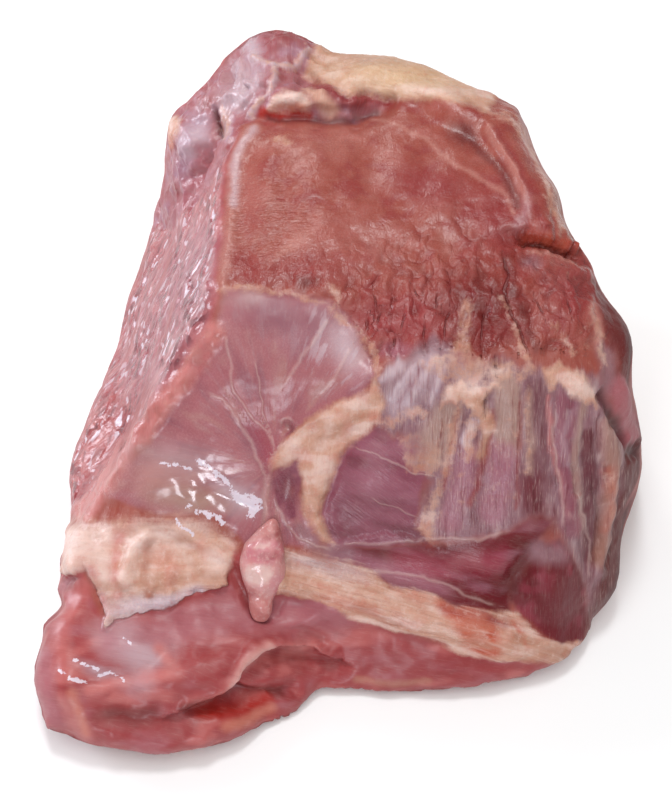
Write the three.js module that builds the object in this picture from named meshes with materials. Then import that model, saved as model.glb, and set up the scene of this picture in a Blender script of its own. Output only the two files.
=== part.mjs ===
// Boneless pork shoulder: one trimmed joint of raw meat, as it lies on a table.
// Millimetres, +Z up, -Y towards the shown side. The origin is on the table, under the middle of the joint.
import * as THREE from "three";
import { ImprovedNoise } from "three/addons/math/ImprovedNoise.js";
import { mergeVertices } from "three/addons/utils/BufferGeometryUtils.js";

// The knife faces that trim the joint: where each one looks (azimuth 0 is +X, 90 is the back), how far its
// normal is lifted above the table, a point that it passes through, and how softly it meets the others.
const FACES = {
  top: { azimuth: -95, lift: 84, through: [10, 30, 108], soft: 16 },
  front: { azimuth: -98, lift: 37, through: [0, -39, 74], soft: 18 },
  frontRight: { azimuth: -62, lift: 26, through: [64, -69, 42], soft: 16 },
  rightFoot: { azimuth: -30, lift: 2, through: [100, -60, 10], soft: 16 },
  right: { azimuth: -3, lift: 10, through: [113, 0, 42], soft: 24 },
  rightBack: { azimuth: 12, lift: 18, through: [77, 62, 96], soft: 14 },
  backRight: { azimuth: 44, lift: 16, through: [81, 102, 86], soft: 12 },
  back: { azimuth: 70, lift: 5, through: [0, 125, 90], soft: 12 },
  backLeft: { azimuth: 128, lift: 14, through: [-70, 130, 40], soft: 24 },
  left: { azimuth: 178, lift: 28, through: [-88, 60, 12], soft: 14 },
  leftFront: { azimuth: -168, lift: 26, through: [-108, -20, 14], soft: 16 },
};
const TABLE_SOFT = 9; // rounding where the sides turn under, on to the flat rest

// The loose flap and the swellings that stand out of the trimmed faces: middle, half sizes, turn about +Z, and
// how softly each one flows into what it grows from.
const SWELLINGS = {
  flap: { at: [-54, -70, 4], half: [47, 48, 26], turn: -6, soft: 10 },
  flapCorner: { at: [-77, -84, 12], half: [25, 33, 19], turn: -10, soft: 8 },
  leftBelly: { at: [-48, -6, 8], half: [51, 60, 30], turn: 0, soft: 14 },
  neckEnd: { at: [-24, 112, 95], half: [31, 24, 20], turn: -16, soft: 12 },
  neckSide: { at: [-52, 112, 56], half: [16, 26, 34], turn: 10, soft: 12 },
};

// The relief is laid out on a sheet that stands in the middle of the joint, square to the line of sight on to
// the shown side. Its places are [across, up] in millimetres from the sheet's middle, and each place is carried
// to the meat along the line from the eye.
const EYE = { distance: 450, elevation: 50, height: 45 };
const FACING = { none: 0.08, full: 0.34 }; // how squarely a face must look at the eye to take the relief

// Rolls, folds and seams, each along a line of places: reach is how far it spreads to either side of the line,
// and rise is how far it stands out, or sinks in where that is negative.
const STROKES = [
  // the top, its back edge and the neck
  { name: "back seam", reach: 6, rise: -6, along: [[-41, 102], [-27, 103], [-13, 102], [5, 100], [19, 107]] },
  { name: "back roll", reach: 9, rise: 6, along: [[-36, 114], [-13, 111], [4, 109]] },
  { name: "neck seam", reach: 4, rise: -4, along: [[-43, 104], [-42, 97], [-47, 86], [-53, 77]] },
  { name: "fat strip", reach: 9, rise: 3, along: [[0, 119], [23, 116], [45, 110], [59, 101]] },
  { name: "top flap", reach: 8, rise: 4, along: [[41, 107], [57, 95], [68, 78], [76, 61]] },
  { name: "top flap seam", reach: 5, rise: -3, along: [[49, 99], [59, 84], [66, 67]] },
  { name: "top flap end", reach: 5, rise: -4, along: [[69, 55], [83, 52]] },
  // the left ridge and the filmed face beside it
  { name: "top rim", reach: 7, rise: 3, along: [[-36, 100], [-41, 72], [-42, 42]] },
  { name: "ridge", reach: 7, rise: 4, along: [[-42, 42], [-52, 22], [-62, 4], [-80, -29], [-90, -46]] },
  { name: "film edge", reach: 4, rise: -2, along: [[-40, 39], [-17, 37], [0, 34], [9, 25], [15, 13]] },
  // the fat in the middle and the strips on the right
  { name: "middle fat", reach: 8, rise: 3, along: [[16, 12], [5, -2], [-13, -13], [-23, -22]] },
  { name: "hanging fat", reach: 6, rise: 3, along: [[0, -9], [-5, -25], [-9, -43]] },
  { name: "fat shadow", reach: 4, rise: -3, along: [[4, -13], [0, -26], [-3, -40], [0, -47]] },
  { name: "fat brow", reach: 7, rise: 2, along: [[19, 8], [41, 2], [59, 0], [81, 8], [95, 5]] },
  { name: "first seam", reach: 4, rise: -2.5, along: [[46, -20], [42, -36], [39, -47]] },
  { name: "second seam", reach: 4, rise: -2, along: [[56, 2], [55, -25], [54, -47]] },
  { name: "third seam", reach: 4, rise: -3, along: [[75, -11], [78, -36], [81, -56]] },
  { name: "tendon", reach: 5, rise: 3, along: [[81, 0], [83, -25], [87, -50]] },
  { name: "last seam", reach: 4, rise: -3, along: [[88, -7], [91, -36], [92, -61]] },
  { name: "side notch", reach: 5, rise: -4, along: [[95, 20], [97, 0], [104, -14]] },
  // the foot of the shown side
  { name: "hollow", reach: 9, rise: -4, along: [[0, -57], [30, -60], [59, -70]] },
  { name: "pocket", reach: 5, rise: -5, along: [[67, -57], [64, -68], [70, -77]] },
  { name: "right foot fat", reach: 8, rise: 4, along: [[-18, -65], [1, -71], [30, -80], [59, -87], [82, -90]] },
  { name: "left foot fat", reach: 12, rise: 4, along: [[-90, -61], [-74, -63], [-56, -62], [-36, -58]] },
  { name: "flap fold", reach: 7, rise: 4, along: [[-67, -103], [-49, -103], [-36, -97], [-26, -86], [1, -75]] },
  { name: "gap under the fold", reach: 5, rise: -6, along: [[-49, -109], [-31, -110], [-9, -107]] },
  { name: "flap seam", reach: 5, rise: -3, along: [[-95, -90], [-85, -104], [-70, -108]] },
];

// Lumps on the sheet: middle, half sizes, and how far each one stands out
const LUMPS = [
  { name: "round muscle", at: [18, -29], half: [22, 24], rise: 4 },
  { name: "stump", at: [78, -68], half: [12, 18], rise: 7 },
  { name: "gland", at: [-27, -59], half: [9, 20], rise: 11 },
  { name: "white lump", at: [-93, -57], half: [8, 9], rise: 5 },
  { name: "neck lump", at: [-55, 94], half: [11, 20], rise: 4 },
];

// The soft unevenness of the meat all round: long low waves, and shorter ones on them
const WAVES = [
  { size: [34, 46, 26], rise: 2.6, at: [3.1, 7.7, 1.3] },
  { size: [15, 21, 13], rise: 1.3, at: [5.9, 2.4, 8.2] },
];

// The skin starts as a round of triangles about the joint and is drawn in: first on to the trimmed block, then
// on to the meat with its relief. Focus packs the triangles closer from this far behind the sheet to its front.
const SKIN = { detail: 23, start: [150, 175, 90], middle: [0, 8, 50], drawIn: 220, settle: 30, finish: 4 };
const RELAX = 0.55; // share of the way to its neighbours' middle that a corner slides in one round
const FOCUS = { from: -80, to: 0, share: 0.2 };
const SLOPE_STEP = 0.5; // over which the surface's slope is read
const LEAST_SLOPE = 0.2; // where the slope is less, it counts as this
const LONGEST_MOVE = 8; // of one corner in one round
const SIGHT_STEP = 2; // over which the block's turn towards the eye is read
const RESTING = 0.05; // corners this close to the table lie on it

const MEAT = { color: 0xb5676a, roughness: 0.35, metalness: 0 };

const degrees = Math.PI / 180;
const { clamp, smoothstep } = THREE.MathUtils;

function direction(azimuth, lift) {
  const flat = Math.cos(lift * degrees);
  const x = flat * Math.cos(azimuth * degrees);
  const y = flat * Math.sin(azimuth * degrees);
  return new THREE.Vector3(x, y, Math.sin(lift * degrees));
}

function softMax(a, b, soft) {
  const near = Math.max(soft - Math.abs(a - b), 0) / soft;
  return Math.max(a, b) + (near * near * soft) / 4;
}

function softMin(a, b, soft) {
  return -softMax(-a, -b, soft);
}

const planes = Object.values(FACES).map(({ azimuth, lift, through, soft }) => {
  const normal = direction(azimuth, lift);
  return { normal, reach: normal.dot(new THREE.Vector3(...through)), soft };
});

// How far p is outside the trimmed block, and below 0 inside it
function block(p) {
  return planes.reduce((far, { normal, reach, soft }) => {
    const out = normal.dot(p) - reach;
    return far === null ? out : softMax(far, out, soft);
  }, null);
}

const swellings = Object.values(SWELLINGS).map(({ at, half, turn, soft }) => ({
  middle: new THREE.Vector3(...at),
  half: new THREE.Vector3(...half),
  turn: turn * degrees,
  soft,
}));

const local = new THREE.Vector3();
const scaled = new THREE.Vector3();
const upAxis = new THREE.Vector3(0, 0, 1);

// How far p is outside one swelling, near enough
function swelling(p, { middle, half, turn }) {
  local.copy(p).sub(middle).applyAxisAngle(upAxis, -turn).divide(half);
  const out = local.length();
  const steep = scaled.copy(local).divide(half).length();
  return steep > 0 ? (out * (out - 1)) / steep : -half.z;
}

const tilt = EYE.elevation * degrees;
const sheetMiddle = new THREE.Vector3(0, 0, EYE.height);
const towardsEye = new THREE.Vector3(0, -Math.cos(tilt), Math.sin(tilt));
const sheetUp = new THREE.Vector3(0, Math.sin(tilt), Math.cos(tilt));
const fromMiddle = new THREE.Vector3();
const ahead = new THREE.Vector3();

// Where a point of the meat is seen on the sheet, and how far in front of the sheet it lies
function seen(p) {
  fromMiddle.copy(p).sub(sheetMiddle);
  const front = fromMiddle.dot(towardsEye);
  const scale = EYE.distance / (EYE.distance - front);
  return { across: fromMiddle.x * scale, up: fromMiddle.dot(sheetUp) * scale, front };
}

// How squarely the block looks at the eye here: 1 is square on, below 0 is turned away
function facing(p) {
  ahead.copy(p).addScaledVector(towardsEye, SIGHT_STEP);
  return (block(ahead) - block(p)) / SIGHT_STEP;
}

// A round-topped profile: 1 in the middle, and 0 from 1 outwards
function mound(away) {
  return away < 1 ? (1 + Math.cos(Math.PI * away)) / 2 : 0;
}

function awayFromLine(across, up, line) {
  let nearest = Infinity;
  for (let i = 1; i < line.length; i++) {
    const [ax, ay] = line[i - 1];
    const bx = line[i][0] - ax;
    const by = line[i][1] - ay;
    const share = clamp(((across - ax) * bx + (up - ay) * by) / (bx * bx + by * by), 0, 1);
    nearest = Math.min(nearest, Math.hypot(across - ax - share * bx, up - ay - share * by));
  }
  return nearest;
}

// How far the relief stands out of the trimmed form here
function relief(p) {
  const shown = smoothstep(facing(p), FACING.none, FACING.full);
  if (shown === 0) return 0;
  const { across, up } = seen(p);
  let out = 0;
  for (const { along, reach, rise } of STROKES) out += rise * mound(awayFromLine(across, up, along) / reach);
  for (const { at, half, rise } of LUMPS) {
    out += rise * mound(Math.hypot((across - at[0]) / half[0], (up - at[1]) / half[1]));
  }
  return out * shown;
}

const noise = new ImprovedNoise();

function waves(p) {
  let out = 0;
  for (const { size, rise, at } of WAVES) {
    out += rise * noise.noise(p.x / size[0] + at[0], p.y / size[1] + at[1], p.z / size[2] + at[2]);
  }
  return out;
}

// The block with its swellings, rising by this much more, as it rests on the table
function resting(p, rise) {
  let here = block(p);
  for (const one of swellings) here = softMin(here, swelling(p, one), one.soft);
  return softMax(here - rise, -p.z, TABLE_SOFT);
}

function trimmed(p) {
  return resting(p, 0);
}

function finished(p) {
  return resting(p, relief(p) + waves(p));
}

// A closed round of triangles: its geometry, its corners, and the corners that lie beside each one
function roundSkin() {
  const sphere = new THREE.IcosahedronGeometry(1, SKIN.detail);
  sphere.deleteAttribute("normal");
  sphere.deleteAttribute("uv");
  const skin = mergeVertices(sphere, 1e-4);
  const spots = skin.getAttribute("position");
  const triangles = skin.index.array;
  const middle = new THREE.Vector3(...SKIN.middle);
  const start = new THREE.Vector3(...SKIN.start);
  const corners = Array.from({ length: spots.count }, (_, i) => {
    const at = new THREE.Vector3().fromBufferAttribute(spots, i).multiply(start).add(middle);
    return { at, weight: 1, beside: new Set() };
  });
  for (let i = 0; i < triangles.length; i += 3) {
    for (let j = 0; j < 3; j++) {
      const corner = corners[triangles[i + j]];
      corner.beside.add(corners[triangles[i + ((j + 1) % 3)]]);
      corner.beside.add(corners[triangles[i + ((j + 2) % 3)]]);
    }
  }
  return { skin, spots, corners };
}

const probe = new THREE.Vector3();
const outward = new THREE.Vector3();
const pull = new THREE.Vector3();

// Moves p straight on to the surface, and leaves the direction that is outwards there
function drawOn(p, surface) {
  const here = surface(p);
  for (const axis of ["x", "y", "z"]) {
    probe.copy(p);
    probe[axis] += SLOPE_STEP;
    outward[axis] = (surface(probe) - here) / SLOPE_STEP;
  }
  const steep = Math.max(outward.length(), LEAST_SLOPE);
  outward.divideScalar(steep);
  p.addScaledVector(outward, clamp(-here / steep, -LONGEST_MOVE, LONGEST_MOVE));
}

// Draws every corner on to the surface and slides it along towards the middle of its neighbours
function drawRound(corners, surface) {
  for (const corner of corners) {
    corner.weight = 1 + FOCUS.share * smoothstep(seen(corner.at).front, FOCUS.from, FOCUS.to);
  }
  for (const { at, beside } of corners) {
    let total = 0;
    pull.set(0, 0, 0);
    for (const other of beside) {
      pull.addScaledVector(other.at, other.weight);
      total += other.weight;
    }
    pull.divideScalar(total).sub(at);
    drawOn(at, surface);
    pull.addScaledVector(outward, -pull.dot(outward));
    at.addScaledVector(pull, RELAX);
  }
}

function meatGeometry() {
  const { skin, spots, corners } = roundSkin();
  for (let i = 0; i < SKIN.drawIn; i++) drawRound(corners, trimmed);
  for (let i = 0; i < SKIN.settle; i++) drawRound(corners, finished);
  for (let i = 0; i < SKIN.finish; i++) {
    for (const { at } of corners) drawOn(at, finished);
  }
  corners.forEach(({ at }, i) => spots.setXYZ(i, at.x, at.y, Math.abs(at.z) < RESTING ? 0 : at.z));
  skin.computeBoundingBox();
  const centre = skin.boundingBox.getCenter(new THREE.Vector3());
  skin.translate(-centre.x, -centre.y, 0);
  skin.computeVertexNormals();
  return skin;
}

const shoulder = new THREE.Group();
const meat = new THREE.Mesh(meatGeometry(), new THREE.MeshStandardMaterial(MEAT));
meat.name = "pork_shoulder";
shoulder.add(meat);

export default shoulder;
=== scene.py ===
import itertools
from math import cos, radians, sin

import bpy
import numpy as np
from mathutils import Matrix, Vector


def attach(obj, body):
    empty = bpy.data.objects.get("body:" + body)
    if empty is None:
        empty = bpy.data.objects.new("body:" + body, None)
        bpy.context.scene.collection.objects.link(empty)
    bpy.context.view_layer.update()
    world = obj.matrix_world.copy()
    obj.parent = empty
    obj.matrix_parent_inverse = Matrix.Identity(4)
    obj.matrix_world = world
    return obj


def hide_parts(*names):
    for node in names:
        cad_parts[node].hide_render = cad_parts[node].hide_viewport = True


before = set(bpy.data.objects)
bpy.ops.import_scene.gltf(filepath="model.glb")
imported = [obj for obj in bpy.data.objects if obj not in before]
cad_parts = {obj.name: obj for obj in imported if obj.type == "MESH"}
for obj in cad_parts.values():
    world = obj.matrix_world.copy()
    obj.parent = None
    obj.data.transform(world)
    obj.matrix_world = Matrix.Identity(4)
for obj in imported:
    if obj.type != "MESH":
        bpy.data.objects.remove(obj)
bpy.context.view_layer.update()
print("frame loaded")

photo = {
    "tall": 800,                       # pixels
    "middle": (336, 400),
    "target": (-6.87, -14.54, 45.0),   # what the camera looks at
    "distance": 450.0,
    "elevation": 50.0,
    "focal": 1250.0,                   # pixels
    "sensor": 36,                      # millimetres of the camera's own
    "pixel": 0.36,                     # millimetres that one pixel covers on the joint
}


# Places

def eyeAxes():
    lift = radians(photo["elevation"])
    forward = np.array([0.0, cos(lift), -sin(lift)])
    right = np.array([1.0, 0.0, 0.0])
    return right, np.cross(right, forward), forward


def eyePlace():
    forward = eyeAxes()[2]
    return np.array(photo["target"]) - forward * photo["distance"]


def toPhoto(places):
    right, up, forward = eyeAxes()
    out = places - eyePlace()
    depth = out @ forward
    x = photo["middle"][0] + photo["focal"] * (out @ right) / depth
    y = photo["middle"][1] - photo["focal"] * (out @ up) / depth
    return x, y


# Maths on many points at once

def ease(low, high, value):
    t = np.clip((value - low) / (high - low), 0, 1)
    return t * t * (3 - 2 * t)


def blend(under, over, amount):
    amount = np.asarray(amount)
    if under.ndim > 1 and amount.ndim == 1:
        amount = amount[:, None]
    return under * (1 - amount) + over * amount


def unit(vectors):
    return vectors / np.maximum(np.linalg.norm(vectors, axis=-1, keepdims=True), 1e-9)


tableSize = 4096
tableSteps = (73856093, 19349663, 83492791, 2654435)    # they scatter neighbouring cells over the table
gradients = unit(np.random.default_rng(7).normal(size=(tableSize, 3)))
spots = np.random.default_rng(11).random((tableSize, 4))


def tableRow(cell, seed):
    stepX, stepY, stepZ, stepSeed = tableSteps
    return (cell[:, 0] * stepX ^ cell[:, 1] * stepY ^ cell[:, 2] * stepZ ^ seed * stepSeed) % tableSize


# Smooth noise from about -1 to 1, its lumps about size across
def noise(places, size, seed=0):
    q = places / size
    cell = np.floor(q).astype(np.int64)
    part = q - cell
    weight = part * part * part * (part * (part * 6 - 15) + 10)
    total = np.zeros(len(places))
    for corner in itertools.product((0, 1), repeat=3):
        share = np.prod(np.where(corner, weight, 1 - weight), axis=1)
        slope = gradients[tableRow(cell + corner, seed)]
        total += share * np.sum(slope * (part - corner), axis=1)
    return total * 1.7


# Thin winding lines: 1 on a line and 0 off it
def creases(places, size, width, seed=0):
    return ease(width, 0, np.abs(noise(places, size, seed)))


# Broken cells: how far a point is from its cell's edge, in cells, and a number from 0 to 1 for the cell
def cells(places, size, seed=0):
    q = places / size
    home = np.floor(q).astype(np.int64)
    first = np.full(len(places), 9.0)
    second = np.full(len(places), 9.0)
    mark = np.zeros(len(places))
    for step in itertools.product((-1, 0, 1), repeat=3):
        cell = home + step
        row = spots[tableRow(cell, seed)]
        gap = np.linalg.norm(cell + row[:, :3] - q, axis=1)
        nearer = gap < first
        second = np.where(nearer, first, np.minimum(second, gap))
        mark = np.where(nearer, row[:, 3], mark)
        first = np.where(nearer, gap, first)
    return second - first, mark


# Squeezes places along one direction, so that noise on them is drawn out that way
def drawnOut(places, direction, times):
    along = places @ direction
    return places + np.outer(along * (1 / times - 1), direction)


# Distance in pixels from a path of straight stretches, less than nothing on the left of a walk along it
def beside(path, x, y):
    nearest = np.full(len(x), 1e9)
    signed = np.zeros(len(x))
    for (x0, y0), (x1, y1) in zip(path[:-1], path[1:]):
        dx, dy = x1 - x0, y1 - y0
        t = np.clip(((x - x0) * dx + (y - y0) * dy) / (dx * dx + dy * dy), 0, 1)
        gap = np.hypot(x - x0 - t * dx, y - y0 - t * dy)
        side = np.where(dx * (y - y0) - dy * (x - x0) > 0, 1, -1)
        signed = np.where(gap < nearest, gap * side, signed)
        nearest = np.minimum(nearest, gap)
    return signed


def offPath(path, x, y):
    return np.abs(beside(path, x, y))


# How far inside an outline, in pixels; less than nothing is outside
def inside(outline, x, y):
    closed = outline + outline[:1]
    crossings = np.zeros(len(x), bool)
    for (x0, y0), (x1, y1) in zip(closed[:-1], closed[1:]):
        if y0 == y1:
            continue
        between = (y0 > y) != (y1 > y)
        crossings ^= between & (x < (x1 - x0) * (y - y0) / (y1 - y0) + x0)
    return np.where(crossings, 1, -1) * offPath(closed, x, y)


# A soft oval, turned by some degrees: 1 in its middle and 0 at its edge
def oval(place, x, y):
    cx, cy, halfX, halfY, turn = place
    c, s = cos(radians(turn)), sin(radians(turn))
    u = ((x - cx) * c + (y - cy) * s) / halfX
    v = ((y - cy) * c - (x - cx) * s) / halfY
    return ease(1, 0, np.hypot(u, v))


# Selecting and meshes

def deselectAll():
    if bpy.context.mode != "OBJECT":
        bpy.ops.object.mode_set(mode="OBJECT")
    bpy.ops.object.select_all(action="DESELECT")


def pick(piece):
    deselectAll()
    piece.select_set(True)
    bpy.context.view_layer.objects.active = piece


def applyModifier(piece, kind, **settings):
    pick(piece)
    modifier = piece.modifiers.new(kind.title(), kind)
    for name, value in settings.items():
        setattr(modifier, name, value)
    bpy.ops.object.modifier_apply(modifier=modifier.name)


def readMesh(piece, name="co"):
    values = np.zeros(len(piece.data.vertices) * 3, np.float32)
    piece.data.vertices.foreach_get(name, values)
    return values.reshape(-1, 3).astype(float)


def writeMesh(piece, places):
    piece.data.vertices.foreach_set("co", places.astype(np.float32).ravel())
    piece.data.update()


def keepNumber(piece, name, values):
    attribute = piece.data.attributes.new(name, "FLOAT", "POINT")
    attribute.data.foreach_set("value", values.astype(np.float32))


def keepVector(piece, name, values):
    attribute = piece.data.attributes.new(name, "FLOAT_VECTOR", "POINT")
    attribute.data.foreach_set("vector", values.astype(np.float32).ravel())


def keepColour(piece, name, values):
    attribute = piece.data.attributes.new(name, "FLOAT_COLOR", "POINT")
    full = np.concatenate([values, np.ones((len(values), 1))], axis=1)
    attribute.data.foreach_set("color", full.astype(np.float32).ravel())


# Colours

# Paints as they look on screen: red, green and blue from 0 to 255
tones = {
    # glint is a painted highlight; several other tones below are also laid as painted shade or painted
    # highlights in folds, gaps, hollows and on crests
    "glint": (242, 226, 238),
    "rose": (164, 62, 80),
    "cutFace": (164, 80, 68),
    "cutPink": (180, 102, 94),
    "cutPaleAndSheen": (208, 146, 134),
    "neckGrey": (176, 128, 146),
    "glandPale": (216, 150, 148),
    "glandPink": (212, 128, 136),
    "cutRedAndShade": (148, 48, 50),
    "cutDeepAndShade": (104, 28, 28),
    "wetPink": (180, 88, 92),
    "pitRedAndShade": (150, 60, 66),
    "salmon": (214, 132, 112),
    "filmPink": (176, 106, 112),
    "filmRed": (164, 76, 86),
    "rimPink": (210, 130, 126),
    "filmViolet": (168, 112, 122),
    "filmGrey": (190, 156, 158),
    "filmWhiteAndSheen": (212, 186, 194),
    "plum": (146, 76, 93),
    "plumDeepAndShade": (112, 50, 60),
    "plumPink": (170, 104, 120),
    "plumRed": (114, 20, 32),
    "fatYellow": (222, 184, 146),
    "greyPlum": (152, 108, 116),
    "greyTan": (180, 142, 130),
    "meatTan": (190, 138, 112),
    "flapPinkAndShade": (206, 114, 110),
    "flapRed": (166, 68, 70),
    "flapViolet": (178, 102, 110),
    "neckPink": (176, 106, 112),
    "wedgeRed": (176, 36, 24),
    "fat": (216, 164, 142),
    "fatPaleAndSheen": (246, 214, 204),
    "fatTan": (192, 138, 114),
    "stain": (198, 82, 52),
    "thread": (232, 196, 188),
    "fatDeepAndShade": (178, 112, 90),
    "filmDark": (150, 88, 100),
    "filmTan": (188, 134, 128),
    # painted shade, laid in gaps, creases and cracks and along the right side
    "gapShade": (84, 22, 24),
}


def linear(tone):
    value = np.array(tones[tone]) / 255
    return 0.8 * np.where(value <= 0.04045, value / 12.92, ((value + 0.055) / 1.055) ** 2.4)


def paintOf(tone):
    return (*linear(tone), 1.0)


# One tone for every point
def plain(tone, count):
    return np.tile(linear(tone), (count, 1))


# Lays a tone over what is there, by a share for each point
def cover(under, tone, share):
    return blend(under, linear(tone), share)


# Meat

meat = {
    "rounding": 1,          # levels that round the solid's facets
    "voxel": 3.65,          # the hidden sides' grid; what faces the camera is four times as fine
    "faceFrom": 0.02,       # cosines of the turn away from the camera, where the photo's marks fade in
    "faceTo": 0.16,
    "faceFine": 0.2,        # past this cosine the grid is cut a second time
    "soften": 14,           # rounds of smoothing
}


def startMeat():
    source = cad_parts["pork_shoulder"]
    piece = bpy.data.objects.new("shoulder_meat", source.data.copy())
    piece.data.name = "shoulder_meat"
    bpy.context.scene.collection.objects.link(piece)
    piece.data.materials.clear()
    pick(piece)
    bpy.ops.object.mode_set(mode="EDIT")
    bpy.ops.mesh.select_all(action="SELECT")
    bpy.ops.mesh.remove_doubles(threshold=1e-5)
    bpy.ops.object.mode_set(mode="OBJECT")
    applyModifier(piece, "SUBSURF", levels=meat["rounding"], render_levels=meat["rounding"])
    return piece


# An even grid on the solid, finer where the camera sees it
def gridMeat(piece):
    pick(piece)
    bpy.ops.object.duplicate()
    solid = bpy.context.object
    applyModifier(piece, "REMESH", mode="VOXEL", voxel_size=meat["voxel"] / 1000)
    refineFacing(piece, meat["faceFrom"])
    refineFacing(piece, meat["faceFine"])
    applyModifier(piece, "SHRINKWRAP", target=solid, wrap_method="NEAREST_SURFACEPOINT")
    applyModifier(piece, "SMOOTH", factor=0.5, iterations=meat["soften"])
    pick(solid)
    bpy.ops.object.delete()


# Cuts each face that is turned to the camera by more than a cosine into four
def refineFacing(piece, turnedBy):
    pick(piece)
    turned = np.zeros(len(piece.data.polygons) * 3, np.float32)
    piece.data.polygons.foreach_get("normal", turned)
    centres = np.zeros(len(piece.data.polygons) * 3, np.float32)
    piece.data.polygons.foreach_get("center", centres)
    toEye = unit(eyePlace() / 1000 - centres.reshape(-1, 3))
    seen = np.sum(turned.reshape(-1, 3) * toEye, axis=1) > turnedBy
    bpy.ops.object.mode_set(mode="EDIT")
    bpy.ops.mesh.select_mode(type="FACE")
    bpy.ops.mesh.select_all(action="DESELECT")
    bpy.ops.object.mode_set(mode="OBJECT")
    piece.data.polygons.foreach_set("select", seen)
    bpy.ops.object.mode_set(mode="EDIT")
    bpy.ops.mesh.subdivide(number_cuts=1, smoothness=0.0)
    bpy.ops.object.mode_set(mode="OBJECT")


# Pulls on the outline as the camera sees it: place, reach, and the pull across and down, all in pixels
pulls = {
    "peak": (222, 44, 34, 2, 6),
    "neck left": (205, 72, 34, 4, 10),
    "neck left low": (188, 100, 26, 2, 3),
    "back corner": (532, 122, 40, 3, -8),
    "left side": (98, 388, 50, -6, -3),
    "flap left": (28, 640, 30, 6, 0),
    "back edge": (335, 40, 62, 0, 15),
    "back edge right": (480, 70, 60, -3, 13),
    "left waist": (150, 195, 34, -9, 0),
    "right shoulder": (628, 335, 60, 12, -4),
    "right heel": (622, 530, 70, -16, 0),
    "right back": (572, 225, 50, -7, 0),
    "right toe": (588, 642, 26, 12, 4),
    "left notch": (48, 606, 22, 12, 0),
    "left corner": (46, 738, 28, -12, 2),
    "front wedge": (292, 704, 40, 6, 24),
    "left foot": (60, 560, 20, -4, 0),
}


def pullOutline(spots):
    right, up, forward = eyeAxes()
    px, py = toPhoto(spots)
    depth = (spots - eyePlace()) @ forward / photo["focal"]
    lifted = ease(0, 6, spots[:, 2])
    moved = spots.copy()
    for atX, atY, reach, across, down in pulls.values():
        share = ease(reach, 0, np.hypot(px - atX, py - atY)) * depth
        moved += np.outer(share * across, right) - np.outer(share * down * lifted, up)
    moved[:, 2] = np.where(spots[:, 2] < 0.05, spots[:, 2], np.maximum(moved[:, 2], 0.0))
    return moved


shoulder = startMeat()
gridMeat(shoulder)
writeMesh(shoulder, pullOutline(readMesh(shoulder) * 1000) / 1000)
places = readMesh(shoulder) * 1000
normals = readMesh(shoulder, "normal")
photoX, photoY = toPhoto(places)
towards = np.sum(normals * unit(eyePlace() - places), axis=1)
facing = ease(meat["faceFrom"], meat["faceTo"], towards)
hidden = 1 - facing
print("meat mesh", len(shoulder.data.vertices), "points", len(shoulder.data.polygons), "faces")

# outlines wander a little, so that no edge is drawn with a ruler
x = photoX + 2.2 * noise(places, 8.0, 1) + 1.2 * noise(places, 2.6, 2)
y = photoY + 2.2 * noise(places, 8.0, 3) + 1.2 * noise(places, 2.6, 4)
lineX, lineY = x, y.copy()          # for thin lines, which aren't frayed

# strips down the right are frayed up and down
frayed = ease(372, 396, photoX) * ease(285, 335, photoY) * ease(575, 480, photoY)
stripPlaces = np.stack([photoX * photo["pixel"], photoY * 0.02, np.zeros(len(places))], axis=1)
y += frayed * (9 * noise(stripPlaces, 4.0, 5) + 4 * noise(stripPlaces, 1.7, 6))


# The surface's point that shows at a pixel
def placeAt(px, py):
    gap = np.where(towards < 0.05, np.inf, np.hypot(photoX - px, photoY - py))
    return places[np.argmin(gap)]


# How far inside an outline or a broad line, in millimetres
def area(outline):
    return inside(outline, x, y) * photo["pixel"]


def band(width, path):
    return (width / 2 - offPath(path, x, y)) * photo["pixel"]


def soft(inEdge, fade=1.5):
    return ease(-fade, fade, inEdge) * facing


# 1 along a line drawn on the surface, fading out beyond its width; both in pixels
def stroke(width, fade, path):
    return ease(width / 2 + fade, max(width / 2 - fade, 0), offPath(path, x, y)) * facing


# Where each tissue lies, as outlines
cutTop = [
    (238, 122), (262, 115), (300, 118), (345, 121), (380, 112), (400, 100), (480, 100), (540, 100),
    (600, 190), (680, 300), (690, 460), (640, 470), (618, 425), (604, 392), (596, 350), (540, 352),
    (500, 352), (470, 356), (440, 352), (416, 352), (380, 360), (374, 372), (366, 350), (350, 320),
    (330, 302), (290, 296), (218, 290), (220, 265), (226, 200), (233, 150),
]
ridgeLine = [
    (262, 100), (240, 124), (231, 165), (226, 200), (219, 262), (217, 300), (212, 323), (198, 343),
    (179, 376), (155, 398), (139, 428), (117, 445), (105, 473), (94, 495), (82, 507), (60, 525),
]
beyondLeft = [(-40, 540), (-40, 60), (230, 60)]
cutLeft = ridgeLine + beyondLeft
rimLine = [
    (214, 332), (203, 350), (186, 378), (164, 402), (149, 426), (128, 446), (113, 470), (98, 494),
    (84, 512),
]
film = [
    (224, 287), (290, 296), (330, 300), (350, 318), (366, 350), (376, 376), (361, 394), (336, 400),
    (307, 419), (286, 437), (271, 459), (290, 470), (318, 545), (246, 545), (222, 517), (200, 510),
    (179, 515), (139, 507), (96, 493), (107, 489), (117, 479), (129, 463), (145, 451), (153, 438),
    (163, 420), (169, 406), (187, 388), (200, 360), (216, 330),
]
roundMuscle = [
    (353, 441), (380, 428), (393, 436), (430, 450), (405, 465), (414, 474), (429, 478), (422, 498),
    (414, 523), (430, 544), (330, 549), (320, 522), (325, 498), (334, 476), (339, 459),
]
columnsArea = [
    (376, 378), (400, 362), (445, 366), (500, 360), (545, 372), (600, 372), (618, 425), (660, 470),
    (640, 520), (605, 600), (588, 620), (584, 592), (569, 552), (552, 520), (530, 520), (506, 534),
    (470, 544), (440, 540), (416, 522), (430, 478), (402, 464), (430, 448), (380, 428), (376, 400),
]
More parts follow.
